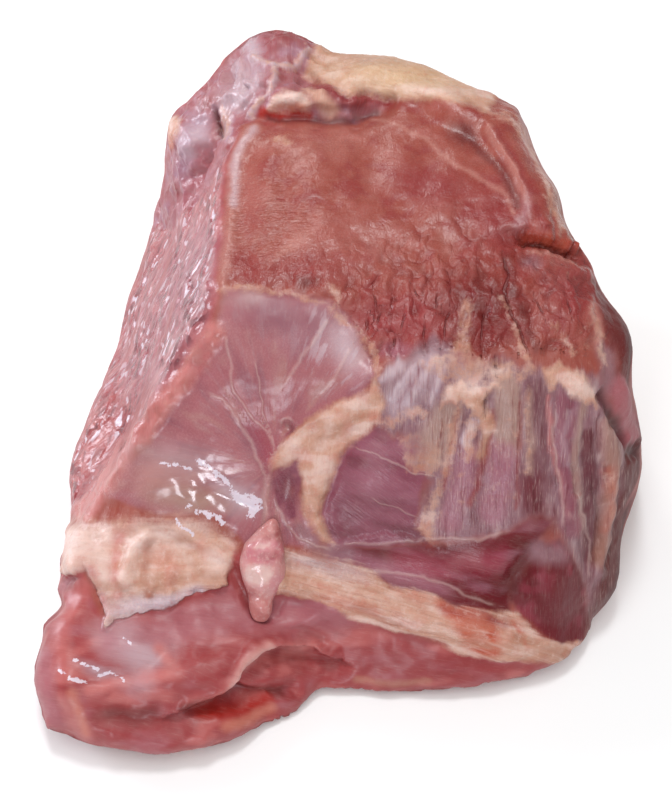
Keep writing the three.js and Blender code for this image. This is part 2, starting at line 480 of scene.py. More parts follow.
lowerMuscle = [
    (330, 549), (440, 544), (470, 543), (506, 534), (530, 520), (552, 520), (540, 541), (525, 570),
    (508, 587), (510, 614), (456, 606), (398, 588), (350, 566), (336, 560),
]
stump = [
    (530, 555), (538, 544), (560, 541), (572, 555), (586, 592), (588, 624), (582, 642), (560, 646),
    (545, 634), (534, 622), (508, 602), (508, 587), (525, 570),
]
ovalWindow = [
    (271, 482), (278, 469), (296, 460), (303, 482), (296, 498), (297, 517), (289, 521), (277, 507),
]
flap = [
    (64, 560), (84, 575), (104, 629), (130, 615), (171, 609), (186, 596), (230, 580), (252, 618),
    (270, 600), (290, 594), (332, 608), (387, 627), (447, 648), (500, 660), (560, 665), (600, 640),
    (640, 700), (560, 740), (300, 780), (100, 800), (0, 760), (0, 640), (50, 590),
]
neck = [
    (150, 20), (330, 10), (330, 50), (346, 92), (392, 96), (377, 111), (356, 120), (321, 120), (262, 114),
    (240, 124), (222, 160), (205, 190), (170, 230), (120, 220),
]
fatAreas = {
    "left foot": [
        (60, 545), (68, 528), (84, 522), (112, 524), (150, 516), (180, 517), (200, 520), (214, 530),
        (238, 545), (234, 560), (226, 574), (228, 584), (206, 590), (186, 596), (171, 608), (163, 610),
        (134, 614), (116, 621), (105, 632), (103, 608), (96, 588), (87, 572), (78, 576), (64, 574),
    ],
    "right foot": [
        (276, 548), (300, 552), (325, 556), (350, 561), (370, 571), (390, 586), (429, 592), (454, 606),
        (487, 610), (519, 612), (528, 622), (544, 636), (560, 645), (590, 640), (600, 650), (570, 665),
        (544, 662), (521, 663), (491, 659), (473, 657), (450, 649), (418, 635), (388, 629), (358, 621),
        (333, 609), (310, 600), (276, 594),
    ],
    "middle": [
        (376, 377), (371, 388), (361, 394), (336, 401), (307, 420), (288, 437), (271, 459), (270, 470),
        (278, 469), (296, 460), (304, 480), (302, 498), (305, 517), (316, 535), (334, 545), (324, 526),
        (320, 517), (325, 498), (334, 476), (340, 459), (354, 441), (368, 432), (380, 424), (384, 404),
    ],
    "cross": [
        (441, 404), (446, 386), (470, 384), (500, 384), (501, 390), (490, 392), (486, 404), (490, 418),
        (496, 432), (488, 440), (482, 428), (476, 414), (462, 406), (452, 402),
    ],
    "right patch": [
        (543, 370), (552, 364), (563, 362), (576, 368), (590, 380), (598, 396), (596, 406), (580, 400),
        (566, 388), (550, 388),
    ],
    "crease lobe": [(268, 110), (272, 96), (286, 91), (302, 93), (312, 104), (306, 112), (284, 110)],
    "left lobe": [(150, 120), (168, 112), (180, 118), (177, 134), (171, 148), (150, 160)],
    "top strip": [
        (322, 30), (345, 30), (400, 30), (440, 40), (480, 70), (500, 96), (488, 110), (455, 103),
        (425, 100), (390, 98), (350, 94), (331, 84), (304, 70),
    ],
}
thinFatAreas = {
    "scrap": [(376, 425), (390, 416), (412, 409), (430, 411), (424, 421), (404, 425), (386, 431)],
    "lower scrap": [
        (396, 440), (412, 436), (428, 440), (446, 446), (442, 462), (428, 475), (414, 474), (404, 466),
        (400, 452),
    ],
    "strip one": [
        (452, 406), (462, 406), (459, 440), (450, 468), (443, 491), (437, 508), (439, 524), (428, 541),
        (416, 530), (424, 512), (434, 486), (444, 456),
    ],
    "fleck field": [
        (412, 364), (430, 360), (452, 352), (466, 334), (474, 352), (505, 364), (536, 368), (538, 378),
        (508, 384), (470, 386), (446, 382), (424, 372),
    ],
}
thinFatBands = {
    "film rim": (9, [(329, 307), (338, 316), (358, 330), (370, 346), (377, 367), (375, 392)]),
    "film rim top": (5, [(222, 290), (240, 287), (265, 291), (296, 296), (322, 303), (333, 306)]),
    "cut fleck": (9, [(277, 138), (284, 139), (289, 142)]),
    "streak": (13, [(466, 306), (463, 330), (461, 352), (468, 372)]),
    "long line": (6, [(501, 296), (514, 325), (524, 352), (528, 372)]),
    "right flecks": (6, [(556, 322), (566, 338), (575, 350)]),
    "right fleck two": (7, [(590, 312), (601, 335), (603, 365)]),
    "strip two": (11, [(476, 412), (473, 423), (468, 443), (466, 458)]),
    "tan strip": (4, [(527, 392), (528, 430), (529, 474)]),
    "cream rim": (8, [(484, 108), (512, 119), (526, 138), (536, 160), (549, 192), (562, 232)]),
    "speckle": (9, [(331, 286), (337, 296), (334, 306)]),
    "far orange": (6, [(606, 478), (612, 498), (608, 516)]),
    "septum": (6, [(252, 55), (272, 64), (293, 66), (306, 50)]),
    "septum down": (6, [(272, 64), (275, 76), (264, 93), (252, 112)]),
    "notch fat": (10, [(222, 112), (226, 122), (222, 132)]),
}

# Fat in scattered flecks
fleckAreas = {
    "right field": [
        (546, 300), (560, 292), (596, 304), (606, 336), (604, 372), (584, 360), (566, 356), (552, 352),
        (548, 330),
    ],
    "step field": [(540, 256), (566, 252), (584, 280), (590, 300), (560, 296), (544, 276)],
    "sheet": [(396, 366), (420, 356), (446, 362), (440, 400), (410, 410), (390, 396)],
    "columns": [(424, 404), (452, 410), (520, 400), (530, 440), (524, 500), (440, 520), (432, 470)],
    "far": [(596, 400), (612, 410), (622, 470), (612, 530), (596, 560), (600, 480)],
}

# Strokes of colour, in order: tone, strength, width and fade in pixels, line
strokes = [
    # cut face
    # painted highlight: a pale lip and a white glint along the ridge between the cut face and the left face
    ("cutPaleAndSheen", 0.5, 8, 7, [
        (256, 127), (244, 138), (237, 160), (232, 185), (232, 215), (227, 250), (224, 282),
    ]),
    ("filmWhiteAndSheen", 0.6, 6, 5, [(254, 130), (244, 141), (238, 156), (235, 176), (234, 206)]),
    ("cutPaleAndSheen", 0.5, 4, 2, [
        (372, 120), (399, 125), (427, 139), (456, 165), (481, 177), (505, 194), (513, 215),
    ]),
    ("filmWhiteAndSheen", 0.2, 18, 12, [(206, 290), (190, 330), (160, 376)]),
    ("neckGrey", 0.2, 40, 26, [(196, 240), (160, 310), (136, 370)]),
    ("cutDeepAndShade", 0.7, 9, 4, [(466, 128), (480, 150), (498, 166), (510, 186), (516, 204)]),
    ("cutPaleAndSheen", 0.5, 9, 4, [(490, 130), (508, 160), (519, 181), (530, 200)]),
    # painted highlight: a white glint on the right ridge
    ("filmWhiteAndSheen", 0.25, 9, 5, [(528, 196), (526, 212), (519, 226)]),
    ("greyTan", 0.6, 8, 3, [(532, 128), (546, 164), (560, 204), (572, 236)]),
    ("cutRedAndShade", 0.7, 6, 4, [(496, 130), (520, 168), (534, 204), (544, 228)]),
    ("stain", 0.6, 7, 4, [(524, 234), (542, 238), (560, 242), (576, 246)]),
    ("cutPaleAndSheen", 0.5, 6, 2, [(534, 249), (560, 254), (580, 262)]),
    # painted shade along the long crease
    ("cutDeepAndShade", 0.6, 10, 5, [(506, 254), (512, 286), (524, 316), (534, 350)]),
    # film
    ("rose", 0.6, 16, 8, [(254, 424), (266, 446), (272, 470)]),
    ("filmWhiteAndSheen", 0.4, 10, 8, [(220, 484), (244, 502)]),
    # the sheet's upper end and what lies under it
    ("greyPlum", 0.9, 48, 6, [(432, 362), (404, 410)]),
    ("filmWhiteAndSheen", 0.6, 26, 12, [(426, 366), (400, 402)]),
    ("filmWhiteAndSheen", 0.75, 6, 2.5, [(444, 368), (430, 402)]),
    ("filmWhiteAndSheen", 0.7, 5, 2, [(414, 364), (390, 398)]),
    ("filmWhiteAndSheen", 0.8, 10, 4, [(400, 362), (385, 378)]),
    ("filmWhiteAndSheen", 0.6, 5, 2, [(431, 366), (409, 404)]),
    ("plum", 0.5, 4, 2, [(424, 366), (398, 404)]),
    ("plumDeepAndShade", 0.7, 16, 6, [(454, 408), (444, 424)]),
    ("greyTan", 0.8, 32, 7, [(446, 416), (432, 448)]),
    ("cutRedAndShade", 0.8, 4, 2, [(457, 414), (454, 438), (448, 466), (444, 486)]),
    ("plumPink", 0.7, 24, 8, [(468, 458), (462, 484), (450, 520)]),
    ("filmWhiteAndSheen", 0.9, 9, 3, [(474, 422), (465, 444)]),
    ("fatTan", 0.9, 11, 4, [(484, 416), (487, 436), (480, 458)]),
    ("cutRedAndShade", 0.7, 6, 3, [(494, 416), (490, 440), (484, 461), (479, 484), (470, 506)]),
    # strips down the right
    ("greyTan", 0.85, 26, 4, [(508, 388), (507, 446)]),
    ("plumPink", 0.75, 26, 7, [(503, 452), (500, 480), (492, 512)]),
    ("cutRedAndShade", 0.6, 4, 2, [(520, 400), (519, 446), (517, 506)]),
    ("plumDeepAndShade", 0.6, 22, 6, [(538, 392), (538, 440), (539, 478)]),
    ("greyTan", 0.6, 8, 3, [(529, 396), (530, 430), (530, 472)]),
    ("plumRed", 0.6, 24, 12, [(532, 488), (542, 524)]),
    ("rimPink", 0.7, 5, 2, [(549, 394), (551, 443), (560, 478), (566, 516)]),
    ("plum", 0.8, 19, 4, [(566, 402), (562, 440), (569, 480), (571, 530)]),
    ("filmWhiteAndSheen", 0.3, 5, 3, [(570, 408), (562, 440), (567, 470)]),
    ("rose", 0.5, 9, 5, [(574, 480), (578, 530)]),
    ("greyTan", 0.7, 8, 3, [(585, 398), (578, 430), (574, 462), (582, 500), (588, 548)]),
    ("plumDeepAndShade", 1.0, 17, 3, [(588, 440), (590, 480), (593, 520), (590, 556)]),
    ("meatTan", 0.5, 15, 6, [(608, 424), (612, 470), (608, 516), (600, 560)]),
    ("stain", 0.4, 7, 5, [(606, 470), (611, 500), (605, 530)]),
    # painted shade along the right side
    ("cutDeepAndShade", 1.0, 24, 6, [(638, 430), (634, 480), (624, 530), (608, 590), (596, 640)]),
    ("cutDeepAndShade", 0.9, 28, 8, [(606, 290), (626, 346), (638, 400)]),
    ("cutPaleAndSheen", 0.7, 7, 4, [(592, 306), (600, 334), (604, 362)]),
    ("greyPlum", 0.85, 15, 5, [(605, 350), (611, 388)]),
    ("flapViolet", 0.9, 20, 5, [(620, 388), (630, 436)]),
    # painted shade in the far gap and along the right edge
    ("gapShade", 0.7, 9, 4, [(601, 396), (614, 424), (628, 446), (638, 460)]),
    ("gapShade", 0.7, 14, 6, [(602, 262), (628, 320), (644, 390), (648, 470), (636, 540), (612, 600)]),
    # lower muscle and stump
    ("rose", 0.8, 22, 10, [(400, 562), (440, 566), (500, 562)]),
    # painted shadow beside the stump
    ("cutDeepAndShade", 0.8, 12, 8, [(530, 556), (516, 574), (510, 592)]),
    ("plumPink", 0.7, 14, 7, [(334, 552), (372, 564), (440, 588)]),
    ("greyPlum", 0.9, 22, 8, [(540, 552), (558, 554)]),
    ("greyPlum", 0.6, 14, 5, [(300, 530), (318, 548), (348, 556)]),
    # flap
    ("flapViolet", 0.9, 36, 14, [(120, 640), (180, 628), (240, 612), (330, 616)]),
    ("flapPinkAndShade", 0.6, 16, 7, [(84, 586), (68, 616), (60, 650), (74, 672)]),
    ("flapPinkAndShade", 0.9, 12, 6, [(90, 690), (140, 678), (180, 674), (160, 650)]),
    ("flapRed", 0.95, 30, 14, [(190, 660), (214, 672), (232, 664)]),
    ("flapPinkAndShade", 0.9, 9, 4, [
        (196, 704), (218, 694), (238, 680), (252, 662), (268, 648), (288, 642), (310, 645),
    ]),
    ("flapRed", 0.5, 14, 6, [(262, 672), (290, 660), (320, 668), (380, 668), (430, 664)]),
    # painted shadow under the fold
    ("cutDeepAndShade", 0.8, 9, 5, [(184, 706), (208, 700), (240, 694), (284, 692)]),
    ("wedgeRed", 0.9, 16, 9, [(206, 714), (232, 711), (266, 704)]),
    ("salmon", 0.7, 8, 5, [(226, 726), (250, 720), (272, 708)]),
    # painted shade in the hollow at the flap's lower left
    ("cutRedAndShade", 0.85, 20, 8, [(100, 714), (130, 716), (152, 712)]),
    ("rimPink", 0.6, 10, 9, [(64, 700), (72, 722), (86, 736)]),
    ("flapViolet", 0.9, 20, 8, [(44, 660), (46, 700), (54, 720)]),
    ("fatTan", 0.5, 5, 4, [(356, 680), (390, 684), (430, 682)]),
    ("flapRed", 0.9, 20, 8, [(236, 560), (236, 580), (250, 602)]),
    ("cutRedAndShade", 0.5, 24, 12, [(370, 664), (430, 664), (480, 662)]),
    ("rimPink", 0.9, 11, 6, [(232, 684), (248, 664), (266, 648)]),
    # painted highlight on the fold's lip
    ("fatPaleAndSheen", 0.35, 8, 5, [(232, 684), (248, 664), (266, 648)]),
    ("filmWhiteAndSheen", 0.3, 22, 16, [(124, 640), (140, 662), (136, 682)]),
    # more painted shade in the same hollow
    ("cutDeepAndShade", 0.45, 12, 8, [(110, 712), (134, 716), (152, 713)]),
    ("salmon", 0.6, 6, 5, [(74, 692), (77, 712), (86, 734)]),
    # neck
    # painted sheen on the neck's wet lumps and on the left lump
    ("filmWhiteAndSheen", 0.8, 14, 9, [(246, 36), (252, 50)]),
    ("filmWhiteAndSheen", 0.7, 24, 14, [(236, 70), (228, 98)]),
    ("filmWhiteAndSheen", 0.7, 16, 10, [(196, 118), (190, 150)]),
    ("cutRedAndShade", 0.6, 12, 8, [(272, 44), (290, 40)]),
    ("filmWhiteAndSheen", 0.7, 5, 2, [(252, 55), (272, 64), (293, 66), (308, 50)]),
    ("filmWhiteAndSheen", 0.7, 6, 3, [(272, 64), (276, 78), (264, 95), (250, 112)]),
    # painted sheen on the neck's facet
    ("filmWhiteAndSheen", 0.6, 20, 10, [(254, 72), (238, 96)]),
    ("wedgeRed", 1.0, 9, 3, [(262, 112), (284, 113), (308, 116)]),
    ("fat", 0.9, 16, 6, [(312, 90), (330, 108)]),
    ("cutRedAndShade", 0.9, 14, 5, [(322, 78), (346, 100), (388, 100)]),
    # painted shade in the crease under the neck
    ("gapShade", 0.7, 5, 3, [(268, 117), (300, 119), (350, 119), (376, 110)]),
    ("filmWhiteAndSheen", 0.6, 10, 4, [(222, 110), (226, 124), (222, 136)]),
    # painted shade in the left notch
    ("gapShade", 0.7, 5, 2.5, [(212, 112), (215, 124), (218, 134)]),
    ("neckGrey", 0.8, 20, 9, [(196, 122), (184, 170)]),
    # painted sheen on the left lump
    ("filmWhiteAndSheen", 0.5, 16, 9, [(198, 126), (193, 150)]),
    ("flapViolet", 0.8, 16, 8, [(204, 150), (190, 200)]),
]

# Painted highlights, the white glints of the wet film: width and fade in pixels, line
paintedGlints = [
    (7, 4, [(198, 461), (210, 467), (222, 477), (232, 490)]),
    (14, 6, [(236, 496), (248, 501), (258, 502), (252, 516)]),
    (9, 5, [(190, 504), (206, 511), (222, 522)]),
    (4, 3, [(162, 463), (178, 465), (192, 471)]),
    (4, 3, [(176, 518), (185, 527), (194, 534)]),
    (4.0, 3.5, [(76, 660), (86, 667), (100, 669)]),
    (3.6, 3.0, [(98, 676), (110, 672), (120, 678), (128, 686)]),
    (3.4, 3.0, [(62, 672), (72, 680), (86, 682)]),
    (3.0, 2.6, [(124, 640), (132, 648)]),
]

# Cuts and gaps: width and depth in pixels and millimetres, line
grooves = {
    "crease": (9, 1.6, [(256, 116), (272, 117), (293, 118), (321, 121), (350, 121), (377, 112), (392, 98)]),
    "neck cleft": (7, 1.6, [(246, 60), (254, 76), (250, 96), (238, 108)]),
    "neck cleft two": (6, 1.5, [(300, 66), (314, 76), (330, 92)]),
    "neck shoulder": (8, 1.8, [(226, 60), (222, 84), (206, 106)]),
    "left notch": (8, 2.6, [(212, 110), (215, 122), (218, 134)]),
    "notch below": (6, 1.8, [(216, 138), (213, 148)]),
    "left crevice": (7, 2.0, [(211, 157), (203, 168), (194, 177)]),
    "step": (7, 2.8, [(522, 237), (540, 241), (557, 245), (576, 251)]),
    "step end": (7, 2.2, [(524, 234), (528, 252)]),
    "dark band": (10, 0.3, [(462, 128), (477, 146), (498, 162), (511, 184), (516, 204)]),
    "under the fold": (12, 3.4, [(192, 707), (216, 700), (240, 696), (268, 692), (292, 688)]),
    "above the fold": (9, 1.2, [
        (222, 694), (240, 680), (248, 664), (262, 644), (282, 632), (302, 630), (322, 640),
    ]),
    "round muscle edge": (8, 1.4, [(352, 446), (341, 462), (334, 478), (327, 498), (322, 518), (331, 538)]),
    "stump side": (12, 0.8, [(533, 552), (522, 568), (512, 578), (509, 596)]),
    "foot seam": (8, 0.5, [(336, 562), (364, 569), (392, 584), (430, 590), (456, 604), (508, 614)]),
    "far gap": (8, 2.4, [(601, 394), (612, 424), (628, 443), (637, 458)]),
    "hole one": (6, 1.8, [(496, 362), (497, 371)]),
    "hole two": (8, 2.0, [(487, 398), (486, 410)]),
    "red groove": (8, 0.8, [(494, 420), (490, 443), (483, 461), (478, 482)]),
    "red line one": (4, 0.8, [(457, 414), (454, 438), (448, 466), (444, 486)]),
    "column gap one": (5, 1.1, [(571, 440), (572, 462), (577, 492)]),
    "column gap two": (5, 0.9, [(548, 400), (547, 440), (553, 482)]),
    "column gap three": (6, 1.2, [(598, 420), (600, 460), (600, 510), (595, 552)]),
    "lobe edge": (5, 1.2, [(620, 470), (618, 520), (606, 566)]),
    "film ring": (8, 1.6, [(284, 424), (288, 428)]),
    "gland side": (9, 1.2, [(232, 560), (238, 580), (250, 606), (264, 620)]),
    "gland other side": (8, 1.0, [(290, 530), (292, 560), (286, 590), (276, 612)]),
    "foot end": (6, 1.5, [(60, 572), (72, 580), (84, 574)]),
}

# Thin cracks in the cut face, painted dark as shade inside them, and pale threads in the film: width in
# pixels, line
cracks = [
    (1.6, [(374, 291), (377, 310)]),
    (1.4, [(381, 308), (378, 326)]),
    (1.6, [(368, 316), (367, 334)]),
    (1.8, [(404, 310), (402, 332)]),
    (1.6, [(448, 308), (444, 338)]),
    (1.2, [(437, 290), (436, 310)]),
    (1.4, [(425, 322), (424, 340)]),
    (1.4, [(396, 335), (394, 352)]),
    (1.2, [(412, 286), (420, 298)]),
    (1.4, [(484, 310), (482, 340)]),
    (1.8, [(503, 253), (507, 272), (505, 289), (511, 310), (519, 330), (527, 352)]),
    (1.2, [(536, 296), (545, 316)]),
    (1.2, [(566, 296), (572, 316)]),
    (2.4, [(522, 236), (540, 241), (557, 245), (578, 252)]),
    (2.2, [(212, 108), (215, 122), (218, 136)]),
    (1.8, [(496, 360), (497, 373)]),
    (2.0, [(487, 396), (486, 412)]),
]
threads = [
    (1.8, [(223, 332), (229, 360), (234, 391), (248, 412), (262, 428), (270, 439), (275, 451)]),
    (2.2, [(206, 392), (222, 398), (236, 419), (252, 444), (261, 466), (268, 482)]),
    (1.2, [(254, 360), (259, 380), (263, 410), (272, 440), (274, 460)]),
    (1.6, [(278, 426), (281, 418), (288, 416), (295, 421)]),
    (2.4, [(352, 345), (335, 375), (318, 395)]),
    (2.4, [(329, 318), (300, 360), (285, 385)]),
    (1.1, [(351, 447), (376, 456), (398, 465), (418, 474), (437, 476)]),
    (1.0, [(369, 496), (383, 505), (398, 510), (418, 517)]),
    (1.8, [(371, 572), (396, 573), (425, 576), (445, 583), (465, 595), (480, 601), (498, 606)]),
    (1.6, [(268, 462), (280, 448), (300, 430), (320, 418), (336, 412)]),
    (4.0, [(268, 470), (265, 486), (264, 502), (268, 520)]),
    (1.8, [(275, 498), (283, 520), (296, 536), (318, 545), (334, 549)]),
    (1.8, [(341, 546), (360, 543), (389, 543), (425, 541)]),
    (1.8, [(557, 405), (552, 434), (557, 465), (563, 501), (563, 528)]),
    (1.6, [(577, 490), (586, 523), (590, 552), (588, 580)]),
    (2.2, [(414, 542), (440, 536), (478, 541), (505, 533)]),
]

# Edges that stand over what lies right of a walk along them: reach and drop in pixels and millimetres, line
steps = {
    "fold": (30, 3.6, [
        (182, 710), (214, 697), (234, 685), (246, 669), (262, 651), (282, 642), (306, 643), (332, 657),
    ]),
    "right step": (24, 2.4, [(520, 233), (540, 239), (557, 243), (580, 250)]),
    "right edge": (22, 0.6, [(488, 128), (508, 160), (520, 181), (532, 200), (534, 230)]),
    "film border": (14, 0.8, [(333, 306), (352, 322), (366, 346), (374, 366), (378, 384)]),
    "sheet end": (12, 0.8, [(436, 548), (410, 536), (380, 534), (350, 540)]),
}

# Lips and cords: width and height in pixels and millimetres, line
ridges = {
    "ridge lip": (16, 0.6, [(256, 127), (243, 138), (235, 165), (231, 200), (225, 262), (221, 290)]),
    "fold lip": (15, 3.0, [
        (190, 704), (214, 694), (234, 682), (244, 667), (258, 650), (280, 641), (306, 643), (330, 654),
    ]),
    "septum": (5, 0.7, [(252, 55), (272, 64), (293, 66), (308, 50)]),
    "septum down": (6, 0.7, [(272, 64), (276, 78), (264, 95), (250, 112)]),
    "right ridge": (11, 0.9, [(488, 128), (509, 165), (519, 181), (530, 204), (528, 230)]),
    "foot lump": (15, 2.8, [(146, 536), (132, 556), (126, 580)]),
    "foot lump two": (16, 1.2, [(176, 560), (168, 590)]),
    "fringe fold": (7, 0.9, [(152, 586), (146, 606)]),
    "fringe fold two": (7, 0.9, [(172, 588), (168, 606)]),
    "foot corner": (26, 2.6, [(74, 536), (80, 566)]),
    "left foot edge": (18, 1.6, [(112, 520), (98, 560), (104, 600)]),
    "foot shelf": (14, 1.6, [(180, 530), (206, 546), (236, 560)]),
    "flap end": (28, 0.9, [(76, 600), (66, 640), (70, 690)]),
    "light column": (15, 1.0, [(562, 404), (561, 440), (566, 480), (572, 530)]),
    "second light column": (12, 0.9, [(580, 404), (574, 440), (572, 462)]),
    "tan column": (15, 1.2, [(604, 408), (611, 440), (613, 480), (607, 524), (600, 570)]),
    "grey panel": (16, 0.5, [(510, 384), (510, 444)]),
    "vein cord": (7, 0.9, [(270, 462), (266, 490), (268, 520)]),
    "far lobe": (18, 1.5, [(624, 392), (632, 440)]),
    "bottom lip": (16, 1.4, [(112, 738), (160, 744), (204, 738)]),
}

# Hollows, and swells where the depth is less than nothing: depth in millimetres, oval in pixels
hollows = {
    "flap hollow": (2.2, (122, 718, 46, 16, 0)),
    "film pit": (1.2, (286, 426, 12, 10, 0)),
    "pocket": (1.0, (514, 570, 18, 22, 0)),
    "window": (1.2, (287, 490, 20, 36, -10)),
    "round muscle": (0.9, (375, 500, 60, 50, 0)),
    "film shelf": (-1.8, (190, 520, 90, 26, 4)),
    "red pit": (1.4, (312, 280, 20, 12, -10)),
    "neck facet": (3.2, (238, 78, 24, 32, 25)),
    "neck knob": (-3.4, (286, 46, 28, 16, 10)),
    "neck knob low": (-3.0, (284, 98, 26, 14, -10)),
    "neck knob right": (-2.2, (322, 100, 22, 18, 40)),
    "neck tail": (-2.4, (362, 103, 34, 10, 0)),
    "neck pit": (2.6, (306, 76, 16, 10, 20)),
    "neck step": (2.2, (262, 84, 10, 20, 20)),
    "left swell": (-3.0, (190, 146, 20, 32, 0)),
    "left swell low": (-2.0, (174, 206, 20, 30, 0)),
    "flap belly": (-3.4, (196, 668, 56, 26, -8)),
    "flap shelf": (-1.5, (140, 650, 50, 20, 0)),
    "flap gully": (1.6, (110, 676, 44, 12, 0)),
}

# Tissues as distances inside their edges, in millimetres
fatIn = np.max([area(outline) for outline in fatAreas.values()], axis=0)
thinFatIn = np.max(
    [area(outline) for outline in thinFatAreas.values()]
    + [np.minimum(area(outline), 2.0) - 3.0 for outline in fleckAreas.values()]
    + [band(width, path) for width, path in thinFatBands.values()],
    axis=0,
)
print("tissues placed")

leftward = ease(0.0, -0.35, normals[:, 0])
topIn, leftIn, filmIn, flapIn = area(cutTop), area(cutLeft), area(film), area(flap)
roundIn, lowerIn = area(roundMuscle), area(lowerMuscle)
onTop = soft(topIn, 2.0)
onLeft = np.maximum(soft(leftIn, 1.8), leftward * hidden)
onFilm = soft(filmIn, 1.2)
onRim = soft(band(20, rimLine), 2)
onNeck = soft(area(neck))
onRound = soft(roundIn, 1)
onColumns = soft(area(columnsArea), 3)
onLower = soft(lowerIn, 1.2)
onStump = soft(area(stump), 1)
onWindow = soft(area(ovalWindow), 0.8)
onFlap = soft(flapIn, 1.2)
# the left foot's lower edge is a torn sheet; the other fat fades into the film
torn = ease(560, 585, photoY) * ease(250, 235, photoX)
fatFade = 2.2 - 1.9 * torn - 0.9 * ease(560, 600, photoY) * (1 - torn)
fatFade += 3.4 * ease(556, 526, photoY) * ease(262, 240, photoX) * ease(440, 500, photoY)
onFat = ease(-1, 1, fatIn / fatFade) * facing
onThinFat = ease(-1.5, 1.5, thinFatIn) * facing

# Relief, in millimetres along the surface's normal

relief = {
    "wrinkle": 4.6, "wrinkleDeep": 0.7,
    "pitWide": 2.0, "pitDeep": 0.5,
    "rim": 0.7,
    "cut": 0.85,
    "fatThick": 0.5, "tornThick": 1.4, "thinFatThick": 0.3,
    "crackWide": 4.0, "crackDeep": 0.4,
    "bundleWide": 30, "bundleDeep": 1.2,
}
leftGrain = unit(placeAt(82, 507) - placeAt(224, 290))
downFace = unit(placeAt(430, 335) - placeAt(430, 215))
acrossFace = unit(placeAt(420, 200) - placeAt(260, 200))

# cut face: pebbles that grow coarse towards the lower right, and faint wrinkles above
coarse = (ease(195, 300, y + 0.22 * (x - 420)) * 0.94 + 0.06) * (1 - 0.8 * ease(580, 620, photoX))
broken = ease(-0.2, 0.4, noise(places, 8, 24))
pebblePlaces = drawnOut(places, downFace, 1.5) + 1.6 * noise(places, 6, 21)[:, None]
deepLines = creases(pebblePlaces, relief["wrinkle"], 0.45, 5) * broken
rise = -onTop * coarse * relief["wrinkleDeep"] * deepLines

# left face: pits and scales, which look long from the camera because it sees the face almost from its edge
onPits = onLeft * (1 - onNeck)
pitPlaces = drawnOut(places, leftGrain, 1.3) / 2.3 + 0.4 * noise(places, 6, 37)[:, None]
pit = noise(pitPlaces, relief["pitWide"], 31) + 0.5 * noise(pitPlaces, relief["pitWide"] / 2, 32)
pitPatch = 0.5 + 0.5 * ease(-0.4, 0.4, noise(places, 16, 36))
pitPatch *= 1 - facing * ease(4.0, 0.5, leftIn)
rise -= onPits * relief["pitDeep"] * pitPatch * ease(0.0, 0.5, pit)

# film: ridges that run to one gathering point
gather = (271, 466)
spokeAngle = np.arctan2(photoY - gather[1], gather[0] - photoX)
spokeReach = np.hypot(photoX - gather[0], photoY - gather[1]) * photo["pixel"]


# Places on the film: so far round the gathering point, and so far from it
def roundGather(turns, reach):
    return np.stack([spokeAngle * turns, spokeReach / reach, np.zeros(len(places))], axis=1)


slickPlaces = drawnOut(places, unit(placeAt(240, 505) - placeAt(160, 455)), 3)
onSlick = oval((205, 485, 80, 44, 25), x, y) * onFilm
rise += onRim * relief["rim"]

# fat: a raised sheet
raggedIn = fatIn + (0.5 + 0.6 * torn) * noise(places, 2.2, 53)
rise += relief["fatThick"] * ease(-1.5, 2.5, raggedIn) * facing
rise += relief["tornThick"] * torn * ease(-0.3, 0.7, raggedIn) * facing
rise += relief["thinFatThick"] * onThinFat * (1 - onFat)
foldAlong = unit(placeAt(220, 556) - placeAt(120, 556))

# lumps: where they are, their height, the places they follow, their size and a seed
lumps = [
    (onTop * coarse, 0.9, pebblePlaces, 4.4, 26),
    (onTop * coarse, 0.35, pebblePlaces, 2.3, 27),
    (onTop * (1 - coarse), 0.12, drawnOut(places, acrossFace, 2.0), 3.2, 22),
    (onTop, 0.55, places, 13, 23),
    (onPits, 0.3, pitPlaces, 1.9, 33),
    (onLeft, 0.7, places, 14, 34),
    (onFilm * ease(3, 14, spokeReach), 0.05, roundGather(14, 16), 1.0, 41),
    (onFilm, 0.45, places, 13, 42),
    (onSlick, 0.9, slickPlaces, 4.0, 44),
    (onRim, 0.9, places, 6, 43),
    (onRim, 0.35, places, 2.6, 45),
    (onFat * (1.0 + 0.9 * torn), 1.0, places, 12, 51),
    (onFat, 0.25, drawnOut(places, foldAlong, 3), 2.2, 52),
    (onNeck, 1.2, places, 12, 61),
    (onFlap, 1.2, places, 17, 64),
    (onFlap, 0.4, places, 7, 65),
    (1.0, 0.35, places, 9, 71),
    (1.0, 0.1, places, 2.5, 72),
]
for mask, high, followed, size, seed in lumps:
    rise += mask * high * noise(followed, size, seed)

# neck: folds of rough wet muscle
for deep, size, seed in [(2.4, 9, 62), (0.9, 4, 63)]:
    rise -= onNeck * deep * np.abs(noise(places, size, seed))

# named cuts, lips and hollows
for width, deep, path in grooves.values():
    rise -= relief["cut"] * deep * ease(width, 0, offPath(path, x, y)) * facing
for width, path in cracks:
    rise -= relief["crackDeep"] * ease(relief["crackWide"], 0, offPath(path, x, y)) * facing
for reach, drop, path in steps.values():
    side = beside(path, x, y)
    rise -= drop * ease(-2, 2, side) * ease(reach, 0, side) * facing
for width, high, path in ridges.values():
    rise += high * ease(width * 0.8, 0, offPath(path, x, y)) * facing
for deep, place in hollows.values():
    rise -= deep * oval(place, x, y) * facing


# The nearest of some thin lines, for the paint to draw: how far off it a point is on either side,
# in the line's widths, and how clearly the line shows there
def nearestLine(lines):
    side = np.full(len(places), 9.0)
    shows = np.zeros(len(places))
    for width, path in lines:
        off = beside(path, lineX, lineY)
        toEnds = [np.hypot(lineX - endX, lineY - endY) for endX, endY in (path[0], path[-1])]
        nearer = np.abs(off / width) < np.abs(side)
        side = np.where(nearer, off / width, side)
        shows = np.where(nearer, ease(7, 4, np.abs(off)) * ease(0, 7, np.minimum(*toEnds)) * facing, shows)
    return side, shows


crackSide, crackShows = nearestLine(cracks)
threadSide, threadShows = nearestLine(threads)

